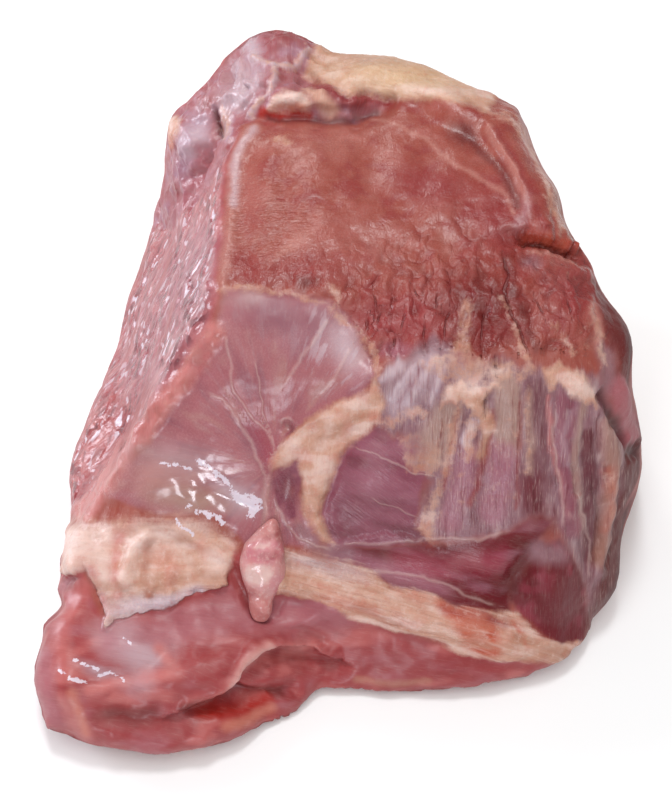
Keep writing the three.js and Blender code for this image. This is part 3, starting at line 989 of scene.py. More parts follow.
# hidden sides: bundles of muscle with seams between them
alongJoint = np.array([0, 1.0, 0])
bundlePlaces = drawnOut(places, alongJoint, 2.2) + 7 * noise(places, 30, 81)[:, None]
bundleEdge, bundleMark = cells(bundlePlaces, relief["bundleWide"], 8)
rise += hidden * (1 - leftward) * relief["bundleDeep"] * (ease(0, 0.16, bundleEdge) - 0.8)
rise *= 1 - ease(-0.6, -0.95, normals[:, 2])            # the underside stays flat on the table
rise *= 1 - 0.6 * ease(0.22, 0.04, np.abs(towards))     # and the outline smooth

# Grain: where a point lies across and along the fibres, so that streaks follow them
fibreLength = 10.0


def grainAt(angle):
    c, s = cos(radians(angle)), sin(radians(angle))
    across = (photoY * c - photoX * s) * photo["pixel"]
    along = (photoX * c + photoY * s) * photo["pixel"]
    return np.stack([across, along / fibreLength, np.full(len(places), float(angle))], axis=1)


# each tissue's edge, what its streaks follow, and how far inside the edge they are still faded
grains = [
    (flapIn, grainAt(10), 3.0),
    (lowerIn, grainAt(14), 3.0),
    (roundIn, grainAt(35), 3.0),
    (topIn, pebblePlaces, 3.0),
    (leftIn, pitPlaces, 1.5),
    (filmIn, roundGather(22, fibreLength), 3.0),
]
grain = grainAt(92)
calm = np.maximum(np.abs(2 * facing - 1), leftward)
for edgeIn, followed, reach in grains:
    grain = np.where(edgeIn[:, None] > 0, followed, grain)
    calm = np.minimum(calm, np.maximum(ease(0.3, reach, np.abs(edgeIn)), hidden))
hiddenGrain = np.where(leftward[:, None] > 0.5, pitPlaces, drawnOut(places, alongJoint, 6))
grain = np.where(facing[:, None] > 0.5, grain, hiddenGrain)
calm = np.minimum(calm, 1 - hidden * ease(0.5, 0.1, np.abs(leftward - 0.5)))

# the fat's own grain turns at three lines, and fades out there too
footStarts, footTop, stripEnds = 262, 530, 130      # pixels
fatGrain = np.where((photoX > footStarts)[:, None], grainAt(16), grainAt(-3))
fatGrain = np.where(((photoY < footTop) & (photoX > footStarts))[:, None], grainAt(96), fatGrain)
fatGrain = np.where((photoY < stripEnds)[:, None], grainAt(12), fatGrain)
fatCalm = np.where((photoX > footStarts) & (photoY > footTop), 1.0, 0.4)
for off in [photoX - footStarts, photoY - footTop, photoY - stripEnds]:
    fatCalm *= ease(0, 9, np.abs(off))

# Tones: soft washes of colour, in order: tone, strength, then an oval
washes = [
    ("cutPink", 0.5, (350, 250, 90, 50, 0)),
    ("cutPaleAndSheen", 0.25, (320, 140, 90, 30, 0)),
    ("cutRedAndShade", 0.9, (430, 185, 80, 36, 8)),
    ("cutRedAndShade", 0.95, (430, 320, 130, 60, 0)),
    ("flapRed", 0.6, (400, 320, 80, 40, 0)),
    ("cutRedAndShade", 0.7, (300, 270, 90, 30, 0)),
    ("cutPink", 0.7, (250, 200, 24, 70, 0)),
    ("cutRedAndShade", 0.7, (240, 262, 44, 26, 20)),
    ("cutDeepAndShade", 0.8, (462, 136, 26, 18, 30)),
    ("cutRedAndShade", 0.9, (570, 290, 60, 60, 20)),
    ("cutDeepAndShade", 0.7, (484, 320, 54, 50, 0)),
    ("cutRedAndShade", 0.9, (500, 220, 60, 70, 0)),
    ("cutDeepAndShade", 0.7, (306, 281, 24, 12, 0)),
    ("cutPaleAndSheen", 0.5, (290, 246, 44, 10, -34)),
    ("greyPlum", 0.8, (532, 262, 18, 18, 0)),
    ("plumPink", 0.8, (396, 350, 30, 14, -10)),
    ("pitRedAndShade", 0.5, (120, 420, 40, 120, 30)),
    ("neckGrey", 0.25, (190, 280, 30, 80, 25)),
    ("rimPink", 0.45, (94, 440, 44, 70, 20)),
    ("filmViolet", 0.8, (306, 330, 60, 46, 0)),
    ("filmDark", 0.9, (286, 318, 70, 26, 5)),
    ("filmGrey", 0.6, (250, 300, 30, 14, 0)),
    ("filmWhiteAndSheen", 0.7, (346, 348, 26, 50, -25)),
    ("filmDark", 0.7, (270, 312, 40, 22, 0)),
    ("filmRed", 0.5, (200, 362, 16, 40, 20)),
    ("filmGrey", 0.7, (175, 462, 70, 34, 10)),
    ("filmDark", 0.9, (254, 442, 20, 40, -30)),
    ("filmTan", 0.9, (160, 482, 60, 34, 10)),
    ("meatTan", 0.4, (196, 496, 40, 18, 10)),
    ("filmTan", 0.2, (330, 384, 34, 22, -20)),
    ("filmWhiteAndSheen", 1.0, (134, 644, 60, 34, 20)),
    # painted sheen where the flap is wet
    ("filmWhiteAndSheen", 0.5, (100, 672, 40, 12, 20)),
    ("filmWhiteAndSheen", 0.5, (144, 680, 24, 12, 0)),
    # painted sheen on the left lump
    ("filmWhiteAndSheen", 0.9, (196, 138, 22, 26, 0)),
    ("flapPinkAndShade", 0.6, (330, 628, 60, 16, 5)),
    ("wedgeRed", 0.5, (480, 300, 80, 60, 0)),
    ("pitRedAndShade", 0.25, (175, 300, 60, 90, 25)),
    ("plum", 0.4, (286, 316, 40, 24, 5)),
    ("greyPlum", 0.7, (416, 440, 16, 20, 0)),
    ("filmWhiteAndSheen", 0.6, (240, 500, 34, 26, 30)),
    ("greyTan", 0.7, (190, 500, 80, 20, 6)),
    # painted shade at the round muscle's left edge, beside the raised fat
    ("plumDeepAndShade", 0.5, (345, 520, 26, 34, 0)),
    ("plumPink", 0.8, (370, 485, 44, 34, 10)),
    ("cutDeepAndShade", 0.5, (287, 490, 18, 30, -10)),
    ("plumPink", 0.5, (390, 575, 60, 20, 10)),
    ("plumPink", 0.6, (330, 612, 50, 22, 10)),
    # painted shade in the flap hollow
    ("cutDeepAndShade", 0.5, (140, 718, 40, 14, 0)),
    ("plumRed", 1.0, (560, 602, 44, 60, 0)),
    ("cutDeepAndShade", 0.8, (480, 300, 70, 60, 0)),
]

spokePlaces = roundGather(26, 4)
downPlaces = drawnOut(places, unit(placeAt(500, 500) - placeAt(505, 400)), 4)
rightPlaces = drawnOut(places, unit(placeAt(480, 590) - placeAt(380, 570)), 3)
flapPlaces = drawnOut(places, foldAlong, 2.5)

# each tissue: its tone, the tones of its light and dark patches, what the patches follow, and their size
tissues = [
    ("cutFace", "cutPink", "cutRedAndShade", onTop * facing, places, 8),
    ("flapRed", "flapPinkAndShade", "flapViolet", onFlap, flapPlaces, 7),
    ("wetPink", "rimPink", "pitRedAndShade", onLeft, places, 9),
    ("neckPink", "neckGrey", "cutRedAndShade", onNeck, places, 6),
    ("greyPlum", "filmGrey", "plumDeepAndShade", onColumns, downPlaces, 4),
    ("plum", "plumPink", "plumDeepAndShade", onRound, rightPlaces, 6),
    ("plumRed", "plumPink", "cutDeepAndShade", onLower, rightPlaces, 6),
    ("plumRed", "rose", "cutDeepAndShade", onStump, places, 7),
    ("filmPink", "filmTan", "filmDark", onFilm, spokePlaces, 5),
    ("plum", "filmPink", "plumDeepAndShade", onWindow, places, 4),
    ("rimPink", "cutPaleAndSheen", "cutPink", onRim, places, 5),
]
tone = plain("cutFace", len(places))
for row, (name, light, dim, mask, followed, size) in enumerate(tissues):
    patches = noise(followed, size, 100 + row) + 0.5 * noise(followed, size / 2.2, 120 + row)
    own = cover(plain(name, len(places)), light, 0.6 * ease(0.1, 0.7, patches))
    own = cover(own, dim, 0.6 * ease(-0.1, -0.7, patches))
    tone = blend(tone, own, mask)
for name, strength, place in washes:
    tone = cover(tone, name, strength * oval(place, x, y) * facing)
for name, strength, width, fade, path in strokes:
    tone = cover(tone, name, strength * stroke(width, fade, path))
sideTone = cover(plain("cutFace", len(places)), "flapViolet", 0.2 + 0.3 * bundleMark)
tone = blend(tone, sideTone, hidden * (1 - onLeft))
# painted shade in the pits of the left face
tone = cover(tone, "pitRedAndShade", 0.4 * onPits * pitPatch * ease(0.0, 0.8, pit))

# The same for the fat
fatWashes = [
    ("fatPaleAndSheen", 1.0, (80, 548, 40, 40, 0)),
    ("fatPaleAndSheen", 0.5, (150, 540, 70, 30, 0)),
    ("salmon", 0.4, (164, 560, 24, 20, 0)),
    ("fatPaleAndSheen", 0.7, (218, 560, 24, 20, 0)),
    ("fatTan", 0.8, (130, 600, 60, 20, 0)),
    ("salmon", 0.8, (478, 626, 46, 24, 20)),
    ("fatPaleAndSheen", 0.4, (534, 630, 26, 14, 30)),
    ("wedgeRed", 0.3, (474, 618, 34, 12, 12)),
    ("stain", 0.6, (350, 606, 60, 10, 15)),
    ("fatTan", 0.8, (550, 652, 40, 14, 0)),
    ("fatTan", 0.7, (420, 440, 60, 50, 0)),
    ("greyPlum", 0.8, (416, 446, 22, 24, 0)),
    ("fatTan", 0.8, (470, 350, 60, 30, 0)),
    ("fatYellow", 0.9, (400, 76, 120, 40, 8)),
    ("filmWhiteAndSheen", 0.9, (146, 606, 80, 20, -6)),
    ("fatTan", 0.7, (296, 574, 24, 16, 15)),
    ("filmGrey", 0.8, (330, 562, 50, 12, 10)),
    ("fatPaleAndSheen", 1.0, (290, 98, 30, 14, 0)),
    ("greyTan", 0.5, (370, 62, 60, 10, 5)),
    ("fatPaleAndSheen", 0.6, (430, 92, 60, 8, 5)),
    ("stain", 0.5, (170, 145, 14, 20, 0)),
    ("stain", 0.6, (290, 108, 30, 8, 0)),
    ("fatPaleAndSheen", 0.6, (590, 388, 20, 14, 0)),
    ("stain", 0.6, (608, 500, 16, 26, 0)),
]
fatStrokes = [
    ("filmGrey", 0.7, 12, 8, [(288, 560), (330, 569), (366, 578)]),
    ("fat", 0.8, 10, 6, [(284, 574), (330, 586), (380, 602), (430, 614)]),
    ("stain", 0.5, 4, 3, [(318, 585), (345, 597), (376, 607)]),
    ("fatDeepAndShade", 0.6, 4, 3, [(300, 590), (350, 606), (400, 624)]),
    ("stain", 1.0, 14, 8, [(444, 604), (460, 618), (472, 640), (484, 656)]),
    ("stain", 1.0, 12, 8, [(462, 608), (484, 622), (494, 648)]),
    # painted shade between the left fat's lumps
    ("flapPinkAndShade", 0.6, 8, 6, [(122, 534), (114, 560), (118, 596)]),
    ("fatDeepAndShade", 0.9, 8, 6, [(150, 544), (143, 570), (150, 596)]),
    ("filmWhiteAndSheen", 1.0, 11, 6, [(112, 621), (134, 611), (166, 605), (200, 592)]),
    ("cutRedAndShade", 0.9, 12, 7, [(446, 606), (474, 612), (504, 620)]),
    ("stain", 0.7, 4, 3, [(508, 618), (520, 632), (528, 648)]),
    ("stain", 0.5, 5, 5, [(400, 592), (430, 600), (450, 608)]),
    # painted highlights on the left fat's folds
    ("fatPaleAndSheen", 1.0, 10, 7, [(146, 536), (132, 556), (128, 584)]),
    ("fatPaleAndSheen", 1.0, 10, 7, [(112, 526), (102, 550), (106, 590)]),
    ("fatPaleAndSheen", 0.6, 10, 8, [(140, 522), (180, 526)]),
    ("fatPaleAndSheen", 0.8, 9, 5, [(444, 394), (478, 389), (498, 387)]),
    ("flapViolet", 0.6, 10, 6, [(92, 570), (102, 592), (106, 618)]),
]
footAlong = unit(placeAt(520, 640) - placeAt(300, 580))
onFoot = ease(footStarts, 290, photoX) * ease(footTop, 550, photoY)
streaks = blend(noise(flapPlaces, 4, 131), noise(drawnOut(places, footAlong, 7), 3, 132), onFoot)
clouds = noise(places, 6, 133)
fatTone = plain("fat", len(places))
for name, share in [
    ("fatPaleAndSheen", 0.6 * ease(0.05, 0.5, streaks)),
    ("fatTan", 0.7 * ease(-0.1, -0.5, streaks)),
    ("flapPinkAndShade", 0.25 * ease(0.1, 0.6, clouds)),
    ("fatPaleAndSheen", 0.3 * ease(-0.1, -0.6, clouds)),
]:
    fatTone = cover(fatTone, name, share)
for name, strength, place in fatWashes:
    fatTone = cover(fatTone, name, strength * oval(place, x, y) * facing)
uneven = 0.35 + 0.65 * ease(-0.35, 0.35, streaks + 0.4 * clouds)
for name, strength, width, fade, path in fatStrokes:
    fatTone = cover(fatTone, name, strength * uneven * stroke(width, fade, path))

# How wet the surface is: less where it is rough, in the crease, on the stump and towards the outline
wet = 0.5 + 0.2 * onLeft + 0.1 * onFilm + 0.4 * onSlick - 0.25 * onFlap + 0.1 * onTop - 0.2 * onNeck
wet = np.clip(wet, 0, 1) * (1 - 0.3 * onFat) * (1 - 0.8 * stroke(18, 8, grooves["crease"][2]))
wet -= 0.6 * oval((285, 306, 90, 26, 5), x, y) + 0.8 * ease(0.28, 0.05, np.abs(towards))
wet -= 0.7 * np.maximum(onStump, ease(585, 615, photoX)) * facing

# Edges of the fat for the paint, which frays them; hidden sides have thin fat along their seams
noFat = -9
fatEdge = np.clip(fatIn / fatFade, noFat, 9) - 12 * ease(0.2, 1.0, hidden)
seamFat = (0.02 - bundleEdge) * 14 + 0.9 * noise(places, 9, 91) - 9 * leftward
thinFatEdge = blend(np.clip(thinFatIn, noFat, 1.3), seamFat, ease(0.3, 1.0, hidden))

writeMesh(shoulder, (places + normals * rise[:, None]) / 1000)
keepColour(shoulder, "tone", np.clip(tone, 0, 1))
keepColour(shoulder, "fatTone", np.clip(fatTone, 0, 1))
numbers = {
    "fat": np.maximum(fatEdge, noFat),
    "thinFat": np.maximum(thinFatEdge, noFat),
    "torn": torn,
    "calm": calm,
    "fatCalm": fatCalm,
    "spokes": onFilm * (0.08 + 0.7 * oval((340, 345, 56, 70, 0), x, y)),
    "pitted": onPits * pitPatch * (1 - 0.7 * hidden),
    "pebbled": onTop * coarse,
    "wrinkled": onTop * (1 - coarse) * oval((262, 216, 90, 80, 0), x, y),
    "stringy": onColumns,
    "smooth": np.maximum(onFlap, np.maximum(0.9 * onFilm, 0.7 * onTop * (1 - coarse))),
    # painted highlights, the white glints of the wet film
    "paintedGlint": np.max([stroke(*paintedGlint) for paintedGlint in paintedGlints], axis=0),
    "crackSide": crackSide,
    "crackShows": crackShows,
    "threadSide": threadSide,
    "threadShows": threadShows,
    "slick": onSlick,
    "wet": wet,
    # painted shade in the cut face's deep crease lines
    "dark": onTop * coarse * deepLines * 0.3,
}
for name, values in numbers.items():
    keepNumber(shoulder, name, values)
keepVector(shoulder, "grain", grain)
keepVector(shoulder, "fatGrain", fatGrain)
print("meat shaped and toned")


# Materials

# A socket that can stand in a sum
class Wire:
    def __init__(self, paint, socket):
        self.paint = paint
        self.socket = socket

    def maths(self, operation, first, second=0.0):
        return self.paint.node("ShaderNodeMath", {"operation": operation}, {0: first, 1: second})

    def __add__(self, other):
        return self.maths("ADD", self, other)

    def __radd__(self, other):
        return self.maths("ADD", other, self)

    def __sub__(self, other):
        return self.maths("SUBTRACT", self, other)

    def __rsub__(self, other):
        return self.maths("SUBTRACT", other, self)

    def __mul__(self, other):
        return self.maths("MULTIPLY", self, other)

    def __rmul__(self, other):
        return self.maths("MULTIPLY", other, self)

    def __abs__(self):
        return self.maths("ABSOLUTE", self)

    def ease(self, low, high):
        settings = {"interpolation_type": "SMOOTHSTEP"}
        return self.paint.node("ShaderNodeMapRange", settings, {0: self, 1: low, 2: high, 3: 0.0, 4: 1.0})


# One material and its nodes
class Paint:
    def __init__(self, name):
        self.material = bpy.data.materials.new(name)
        self.material.use_nodes = True
        self.tree = self.material.node_tree
        self.tree.nodes.clear()

    def node(self, kind, settings, inputs, output=0):
        made = self.tree.nodes.new(kind)
        for name, value in settings.items():
            setattr(made, name, value)
        for name, value in inputs.items():
            if isinstance(value, Wire):
                self.tree.links.new(value.socket, made.inputs[name])
            else:
                made.inputs[name].default_value = value
        return Wire(self, made.outputs[output]) if len(made.outputs) else None

    def number(self, name):
        return self.node("ShaderNodeAttribute", {"attribute_name": name}, {}, "Fac")

    def colour(self, name):
        return self.node("ShaderNodeAttribute", {"attribute_name": name}, {}, "Color")

    def vector(self, name):
        return self.node("ShaderNodeAttribute", {"attribute_name": name}, {}, "Vector")

    def place(self):
        return self.node("ShaderNodeTexCoord", {}, {}, "Object")

    # noise from 0 to 1; size is in the vector's own unit
    def noise(self, vector, size, detail=2.0, rough=0.5, twist=0.0):
        inputs = {"Vector": vector, "Scale": 1 / size, "Detail": detail}
        inputs.update({"Roughness": rough, "Distortion": twist})
        return self.node("ShaderNodeTexNoise", {}, inputs)

    # how far off the nearest of scattered points is, in their spacing
    def offSpots(self, vector, size):
        return self.node("ShaderNodeTexVoronoi", {"feature": "F1"}, {"Vector": vector, "Scale": 1 / size})

    def vectors(self, operation, first, second):
        return self.node("ShaderNodeVectorMath", {"operation": operation}, {0: first, 1: second})

    # a vector, moved about by noise
    def warp(self, vector, size, reach):
        inputs = {"Vector": vector, "Scale": 1 / size, "Detail": 1.0}
        swing = self.vectors("SUBTRACT", self.node("ShaderNodeTexNoise", {}, inputs, 1), (0.5, 0.5, 0.5))
        return self.vectors("ADD", vector, self.vectors("MULTIPLY", swing, (reach, reach, reach)))

    def mix(self, amount, under, over, way="MIX"):
        settings = {"data_type": "RGBA", "blend_type": way}
        return self.node("ShaderNodeMix", settings, {0: amount, 6: under, 7: over}, 2)

    # colours laid one on another: how much of each, and its tone or its wire
    def layers(self, colour, overs):
        for amount, over in overs:
            over = paintOf(over) if isinstance(over, str) else over
            colour = self.mix(amount, colour, over)
        return colour

    def finish(self, inputs):
        skin = self.node("ShaderNodeBsdfPrincipled", {}, inputs)
        self.node("ShaderNodeOutputMaterial", {}, {"Surface": skin})
        return self.material


def meatPaint():
    paint = Paint("raw_meat")
    place = paint.place()
    grain, fatGrain = paint.vector("grain"), paint.vector("fatGrain")
    calm, fatCalm, torn, stringy = [paint.number(name) for name in ["calm", "fatCalm", "torn", "stringy"]]
    pitted, pebbled, wrinkled = [paint.number(name) for name in ["pitted", "pebbled", "wrinkled"]]

    # patterns that swing to both sides of 0: four of no direction, then those along the grains
    speck = paint.noise(place, 0.0008, 3.0, 0.6) - 0.5
    ragged = paint.noise(place, 0.0024, 4.0, 0.65) - 0.5
    mottle = paint.noise(place, 0.0045, 3.0) - 0.5
    broad = paint.noise(place, 0.012, 3.0) - 0.5
    fibre = (paint.noise(grain, 1.3, 3.0, 0.55) - 0.5) * calm
    fineFibre = (paint.noise(grain, 0.5, 2.0, 0.5) - 0.5) * calm
    strand = (paint.noise(fatGrain, 1.8, 3.0, 0.5, 0.6) - 0.5) * fatCalm
    fineStrand = (paint.noise(fatGrain, 0.7, 2.0, 0.5, 0.5) - 0.5) * fatCalm
    wrinkle = paint.noise(paint.vectors("MULTIPLY", place, (0.4, 1.0, 1.0)), 0.0018, 2.0, 0.5) - 0.5

    # pits in the left face, with painted shade on one side and a painted highlight on the other
    pits = (paint.noise(grain, 1.8, 1.0, 0.4) - 0.5) * calm
    beneath = paint.vectors("ADD", grain, (-0.25, 0.0, -0.65))
    lower = (paint.noise(beneath, 1.8, 1.0, 0.4) - 0.5) * calm - pits
    shadedSide = lower.ease(-0.04, -0.11) * pitted
    shine = lower.ease(0.07, 0.13) * broad.ease(-0.06, 0.08) * pitted
    # painted highlights, frayed by noise
    paintedGlint = (paint.number("paintedGlint") + ragged * 2.2 + speck * 0.5).ease(0.7, 0.85)

    # pebbles and cracks in the cut face, their valleys and cracks painted darker as shade, and threads in
    # the film
    pebble = paint.offSpots(paint.warp(grain, 4.0, 2.4), 4.0)
    cracked = pebble.ease(0.62, 0.85) * mottle.ease(0.0, 0.15) * pebbled * calm
    crackLine = (abs(paint.number("crackSide")) + ragged * 2).ease(1.1, 0.2) * paint.number("crackShows")
    threadLine = (abs(paint.number("threadSide")) + ragged).ease(1.5, 0.0) * paint.number("threadShows")

    # how much of the fat shows, its edge frayed
    fray = ragged * 1.2 + strand * 1.6 + speck * 0.5
    thickCover = (paint.number("fat") + fray).ease(-0.7, 0.8)
    thin = paint.number("thinFat") + ragged * 6.0 + strand * 4.0 + mottle * 4.0 - 0.3
    thinCover = thin.ease(-1.2, 2.0) * 0.75
    fatCover = thickCover + thinCover * (1 - thickCover)

    tone = paint.colour("tone")
    deep = paint.mix(1.0, tone, (0.6, 0.34, 0.36, 1.0), "MULTIPLY")
    pale = paint.mix(0.35, tone, paintOf("fatPaleAndSheen"))
    lean = paint.layers(tone, [
        (mottle.ease(0.0, 0.3) * 0.2, deep),
        (broad.ease(0.0, 0.3) * 0.2, pale),
        (fibre.ease(0.0, 0.25) * (stringy * 0.65 + 0.2), deep),
        (fineFibre.ease(0.0, 0.3) * (stringy * 0.55 + 0.2), pale),
        (speck.ease(0.1, 0.3) * 0.2, pale),
        # painted shade in the pits
        (pits.ease(0.0, -0.16) * pitted * 0.4, "pitRedAndShade"),
        # painted shade on one side of each pit
        (shadedSide * 0.65, "plumDeepAndShade"),
        # painted highlights on the wrinkles' crests
        (wrinkle.ease(0.1, 0.2) * wrinkled * 0.25, "cutPaleAndSheen"),
        # painted highlights on the other side of each pit
        (shine * 0.8, "glint"),
        (ragged.ease(0.05, 0.22) * 0.1, pale),
        # painted shade in the valleys between pebbles
        (pebble.ease(0.35, 0.85) * pebbled * calm * 0.4, "cutRedAndShade"),
        # painted shade in the cracks between pebbles
        (cracked * 0.35, "cutDeepAndShade"),
        # painted shade in the deep crease lines
        (paint.number("dark"), "gapShade"),
        (paint.number("spokes") * fibre.ease(0.02, 0.12) * 0.9, "filmWhiteAndSheen"),
    ])
    fat = paint.layers(paint.colour("fatTone"), [
        (strand.ease(0.0, 0.25) * 0.35, "fatPaleAndSheen"),
        (strand.ease(0.0, -0.25) * 0.4, "fatDeepAndShade"),
        (fineStrand.ease(0.0, 0.25) * 0.2, "fatDeepAndShade"),
        (ragged.ease(0.0, 0.25) * 0.25, "stain"),
        (ragged.ease(0.0, -0.25) * 0.35, "fatPaleAndSheen"),
    ])
    colour = paint.layers(lean, [
        (fatCover, fat),
        (threadLine * 0.27, "thread"),
        # painted shade inside the cracks
        (crackLine * 0.5, "gapShade"),
        # painted highlights of the wet film
        (paintedGlint * 0.9, "glint"),
    ])

    # height in millimetres
    height = (fibre * 0.25 + fineFibre * 0.12 + speck * 0.1) * (1 - paint.number("smooth") * 0.8)
    height = height + wrinkle * wrinkled * 1.2 + pits * pitted * 2.4
    height = height - pebble * pebble * pebbled * calm * 0.9 - cracked * 0.3
    height = height * (1 - fatCover * 0.8) + thickCover * (torn * 0.3 + 0.05)
    height = height + (strand * 0.8 + ragged * 0.5) * fatCover - crackLine * 0.3 + threadLine * 0.12
    bump = paint.node("ShaderNodeBump", {}, {"Strength": 1.0, "Distance": 0.001, "Height": height})
    return paint.finish({
        "Base Color": colour,
        "Roughness": 0.44 - paint.number("wet") * 0.28 + speck * 0.1,
        "Specular IOR Level": 0.35,
        "Normal": bump,
        "Coat Weight": paint.number("slick") * 0.7,
        "Coat Roughness": 0.1,
        "Subsurface Weight": 0.12,
        "Subsurface Radius": (1.0, 0.35, 0.25),
        "Subsurface Scale": 0.003,
    })


shoulder.data.materials.append(meatPaint())
pick(shoulder)
bpy.ops.object.shade_smooth()
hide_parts("pork_shoulder")
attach(shoulder, "root")
print("meat painted")


# Gland

gland = {
    "top": (274, 518),      # pixels
    "bottom": (260, 621),
    "sides": 20,
    "rings": [              # so far along, and so wide from the middle
        (0, 1.0), (3, 3.0), (7, 5.2), (11, 7.2), (13, 7.0), (16, 8.0), (20, 7.6), (24, 6.2), (27, 4.6),
        (29, 3.9), (32, 4.1), (35, 3.2), (37, 1.6),
    ],
    "rounding": 2,
    "leanAt": [0, 10, 15, 21, 28, 37],
    "lean": [0, -1.8, -1.8, -1.0, -0.8, 0],     # how far it bulges to the left there
    "flat": 0.7,            # its thickness against its width
    "lift": 1.2,
    "lumpHigh": 0.9,
    "lumpWide": 5,
    "washes": [
        ("rimPink", 0.6, (270, 530, 16, 18, 0)),
        ("fatPaleAndSheen", 0.6, (258, 574, 22, 16, 0)),
        ("cutRedAndShade", 0.5, (282, 540, 10, 30, 0)),
        ("flapRed", 0.5, (250, 596, 10, 12, 0)),
        ("glandPink", 1.0, (264, 552, 30, 18, -6)),
        ("cutRedAndShade", 0.5, (268, 556, 16, 7, -6)),
        ("cutRedAndShade", 0.4, (270, 537, 14, 4, -20)),
        ("fatPaleAndSheen", 0.5, (262, 546, 14, 4, -12)),
        ("cutRedAndShade", 0.5, (256, 597, 14, 5, 20)),
        ("glandPink", 0.6, (278, 584, 12, 14, 0)),
        ("rimPink", 0.9, (262, 612, 24, 26, 0)),
    ],
}


# Rings of so far along and so wide, drawn out of one circle
def addGland():
    deselectAll()
    first, *rest = gland["rings"]
    bpy.ops.mesh.primitive_circle_add(vertices=gland["sides"], radius=first[1] / 1000, fill_type="NGON")
    piece = bpy.context.object
    piece.name = "gland"
    bpy.ops.object.mode_set(mode="EDIT")
    bpy.ops.mesh.select_all(action="SELECT")
    wasAlong, wasWide = first
    for along, wide in rest:
        bpy.ops.mesh.extrude_region_move(TRANSFORM_OT_translate={"value": (0, 0, (along - wasAlong) / 1000)})
        grown = wide / wasWide
        bpy.ops.transform.resize(value=(grown, grown, 1), center_override=(0, 0, along / 1000))
        wasAlong, wasWide = along, wide
    bpy.ops.mesh.select_all(action="SELECT")
    bpy.ops.mesh.normals_make_consistent(inside=False)
    bpy.ops.object.mode_set(mode="OBJECT")
    applyModifier(piece, "SUBSURF", levels=gland["rounding"], render_levels=gland["rounding"])
    return piece


# Lays it on the meat between its two pixels
def placeGland(piece):
    top, bottom = placeAt(*gland["top"]), placeAt(*gland["bottom"])
    along = unit(bottom - top)
    out = unit(eyePlace() - top)
    out = unit(out - along * (out @ along))
    spots = readMesh(piece) * 1000
    share = np.linalg.norm(bottom - top) / gland["rings"][-1][0]
    across = np.cross(out, along)
    flat = spots[:, 1:2] * gland["flat"] + gland["lift"]
    bulge = np.interp(spots[:, 2], gland["leanAt"], gland["lean"])[:, None]
    laid = top + (spots[:, :1] + bulge) * across + flat * out + spots[:, 2:] * share * along
    laid += out * (gland["lumpHigh"] * noise(laid, gland["lumpWide"], 141))[:, None]
    writeMesh(piece, laid / 1000)


glandPiece = addGland()
placeGland(glandPiece)
glandSpots = readMesh(glandPiece) * 1000
glandX, glandY = toPhoto(glandSpots)
glandTone = plain("glandPale", len(glandSpots))
for name, strength, place in gland["washes"]:
    glandTone = cover(glandTone, name, strength * ease(0, 0.5, oval(place, glandX, glandY)))
keepColour(glandPiece, "tone", glandTone)


def glandPaint():
    paint = Paint("gland_skin")
    speck = paint.noise(paint.place(), 0.0012, 3.0)
    cloud = paint.noise(paint.place(), 0.004, 2.0)
    colour = paint.layers(paint.colour("tone"), [
        (speck.ease(0.45, 0.75) * 0.3, "fatPaleAndSheen"),
        (cloud.ease(0.5, 0.75) * 0.4, "rimPink"),
    ])
    bump = paint.node("ShaderNodeBump", {}, {"Strength": 0.5, "Distance": 0.0004, "Height": speck})
    return paint.finish({
        "Base Color": colour,
        "Roughness": 0.4,
        "Normal": bump,
        "Coat Weight": 0.5,
        "Coat Roughness": 0.15,
        "Subsurface Weight": 0.15,
        "Subsurface Radius": (1.0, 0.4, 0.3),
        "Subsurface Scale": 0.002,
    })


glandPiece.data.materials.append(glandPaint())
pick(glandPiece)
bpy.ops.object.shade_smooth()
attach(glandPiece, "root")
print("gland laid")


# Stage

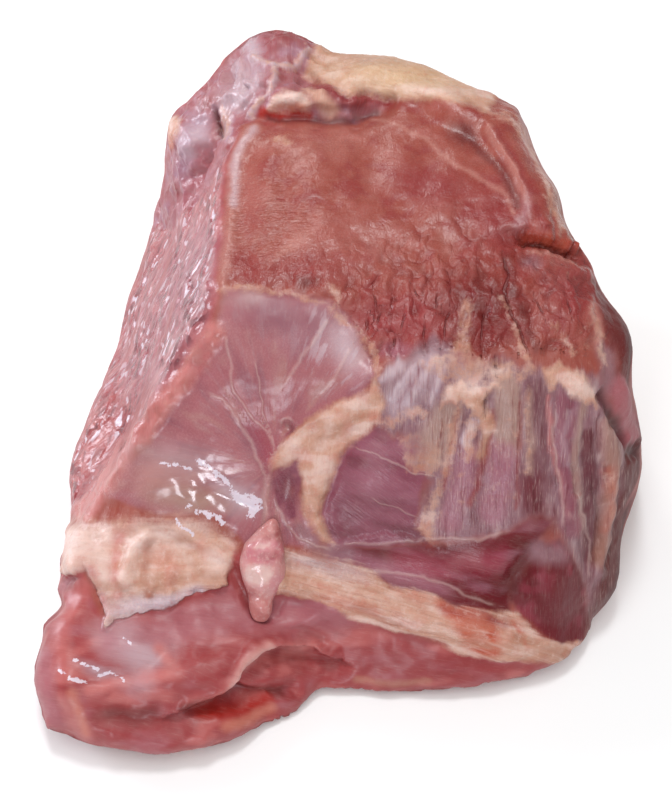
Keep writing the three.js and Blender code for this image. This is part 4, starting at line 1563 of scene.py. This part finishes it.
stage = {
    "floor": 3.0,           # metres
    "floorColour": (0.93, 0.93, 0.93, 1.0),
    "floorRough": 0.7,
    "sky": 0.36,
    "aim": (0, 0, 0.05),
    "lights": {
        "window": {"at": (-0.98, 0.42, 0.27), "size": 0.3, "watts": 6, "colour": (0.84, 0.9, 1.0)},
        "door": {"at": (-0.34, -1.1, 0.36), "size": 0.26, "watts": 3.6, "colour": (0.88, 0.92, 1.0)},
        "back": {"at": (-0.3, 0.8, 0.95), "size": 0.2, "watts": 2.0, "colour": (1.0, 0.98, 0.96)},
        "top": {"at": (-0.06, 0.22, 1.2), "size": 0.22, "watts": 4.4, "colour": (0.96, 0.98, 1.0)},
        "fill": {"at": (0.1, -0.35, 1.5), "size": 1.6, "watts": 12, "colour": (1.0, 0.98, 0.96)},
    },
}


def addFloor():
    deselectAll()
    bpy.ops.mesh.primitive_plane_add(size=stage["floor"], location=(0, 0, 0))
    floor = bpy.context.object
    floor.name = "floor"
    paint = Paint("pale_floor")
    floor.data.materials.append(paint.finish({
        "Base Color": stage["floorColour"],
        "Roughness": stage["floorRough"],
    }))


def turnTo(at, aim):
    return (aim - at).to_track_quat("-Z", "Y").to_euler()


def addLight(name, at, size, watts, colour):
    deselectAll()
    bpy.ops.object.light_add(type="AREA", location=at)
    lamp = bpy.context.object
    lamp.name = name
    lamp.data.size = size
    lamp.data.energy = watts
    lamp.data.color = colour
    lamp.rotation_euler = turnTo(Vector(at), Vector(stage["aim"]))


def addCamera():
    deselectAll()
    at = Vector(eyePlace() / 1000)
    aim = Vector(photo["target"]) / 1000
    bpy.ops.object.camera_add(location=at, rotation=turnTo(at, aim))
    camera = bpy.context.object
    camera.data.sensor_width = photo["sensor"]
    camera.data.lens = photo["sensor"] * photo["focal"] / photo["tall"]
    bpy.context.scene.camera = camera


addFloor()
for name, light in stage["lights"].items():
    addLight(name, **light)
addCamera()
world = bpy.data.worlds.new("soft_room")
bpy.context.scene.world = world
world.use_nodes = True
sky = world.node_tree.nodes["Background"]
sky.inputs["Color"].default_value = (1, 1, 1, 1)
sky.inputs["Strength"].default_value = stage["sky"]
bpy.context.scene.view_settings.view_transform = "Standard"
print("stage set")
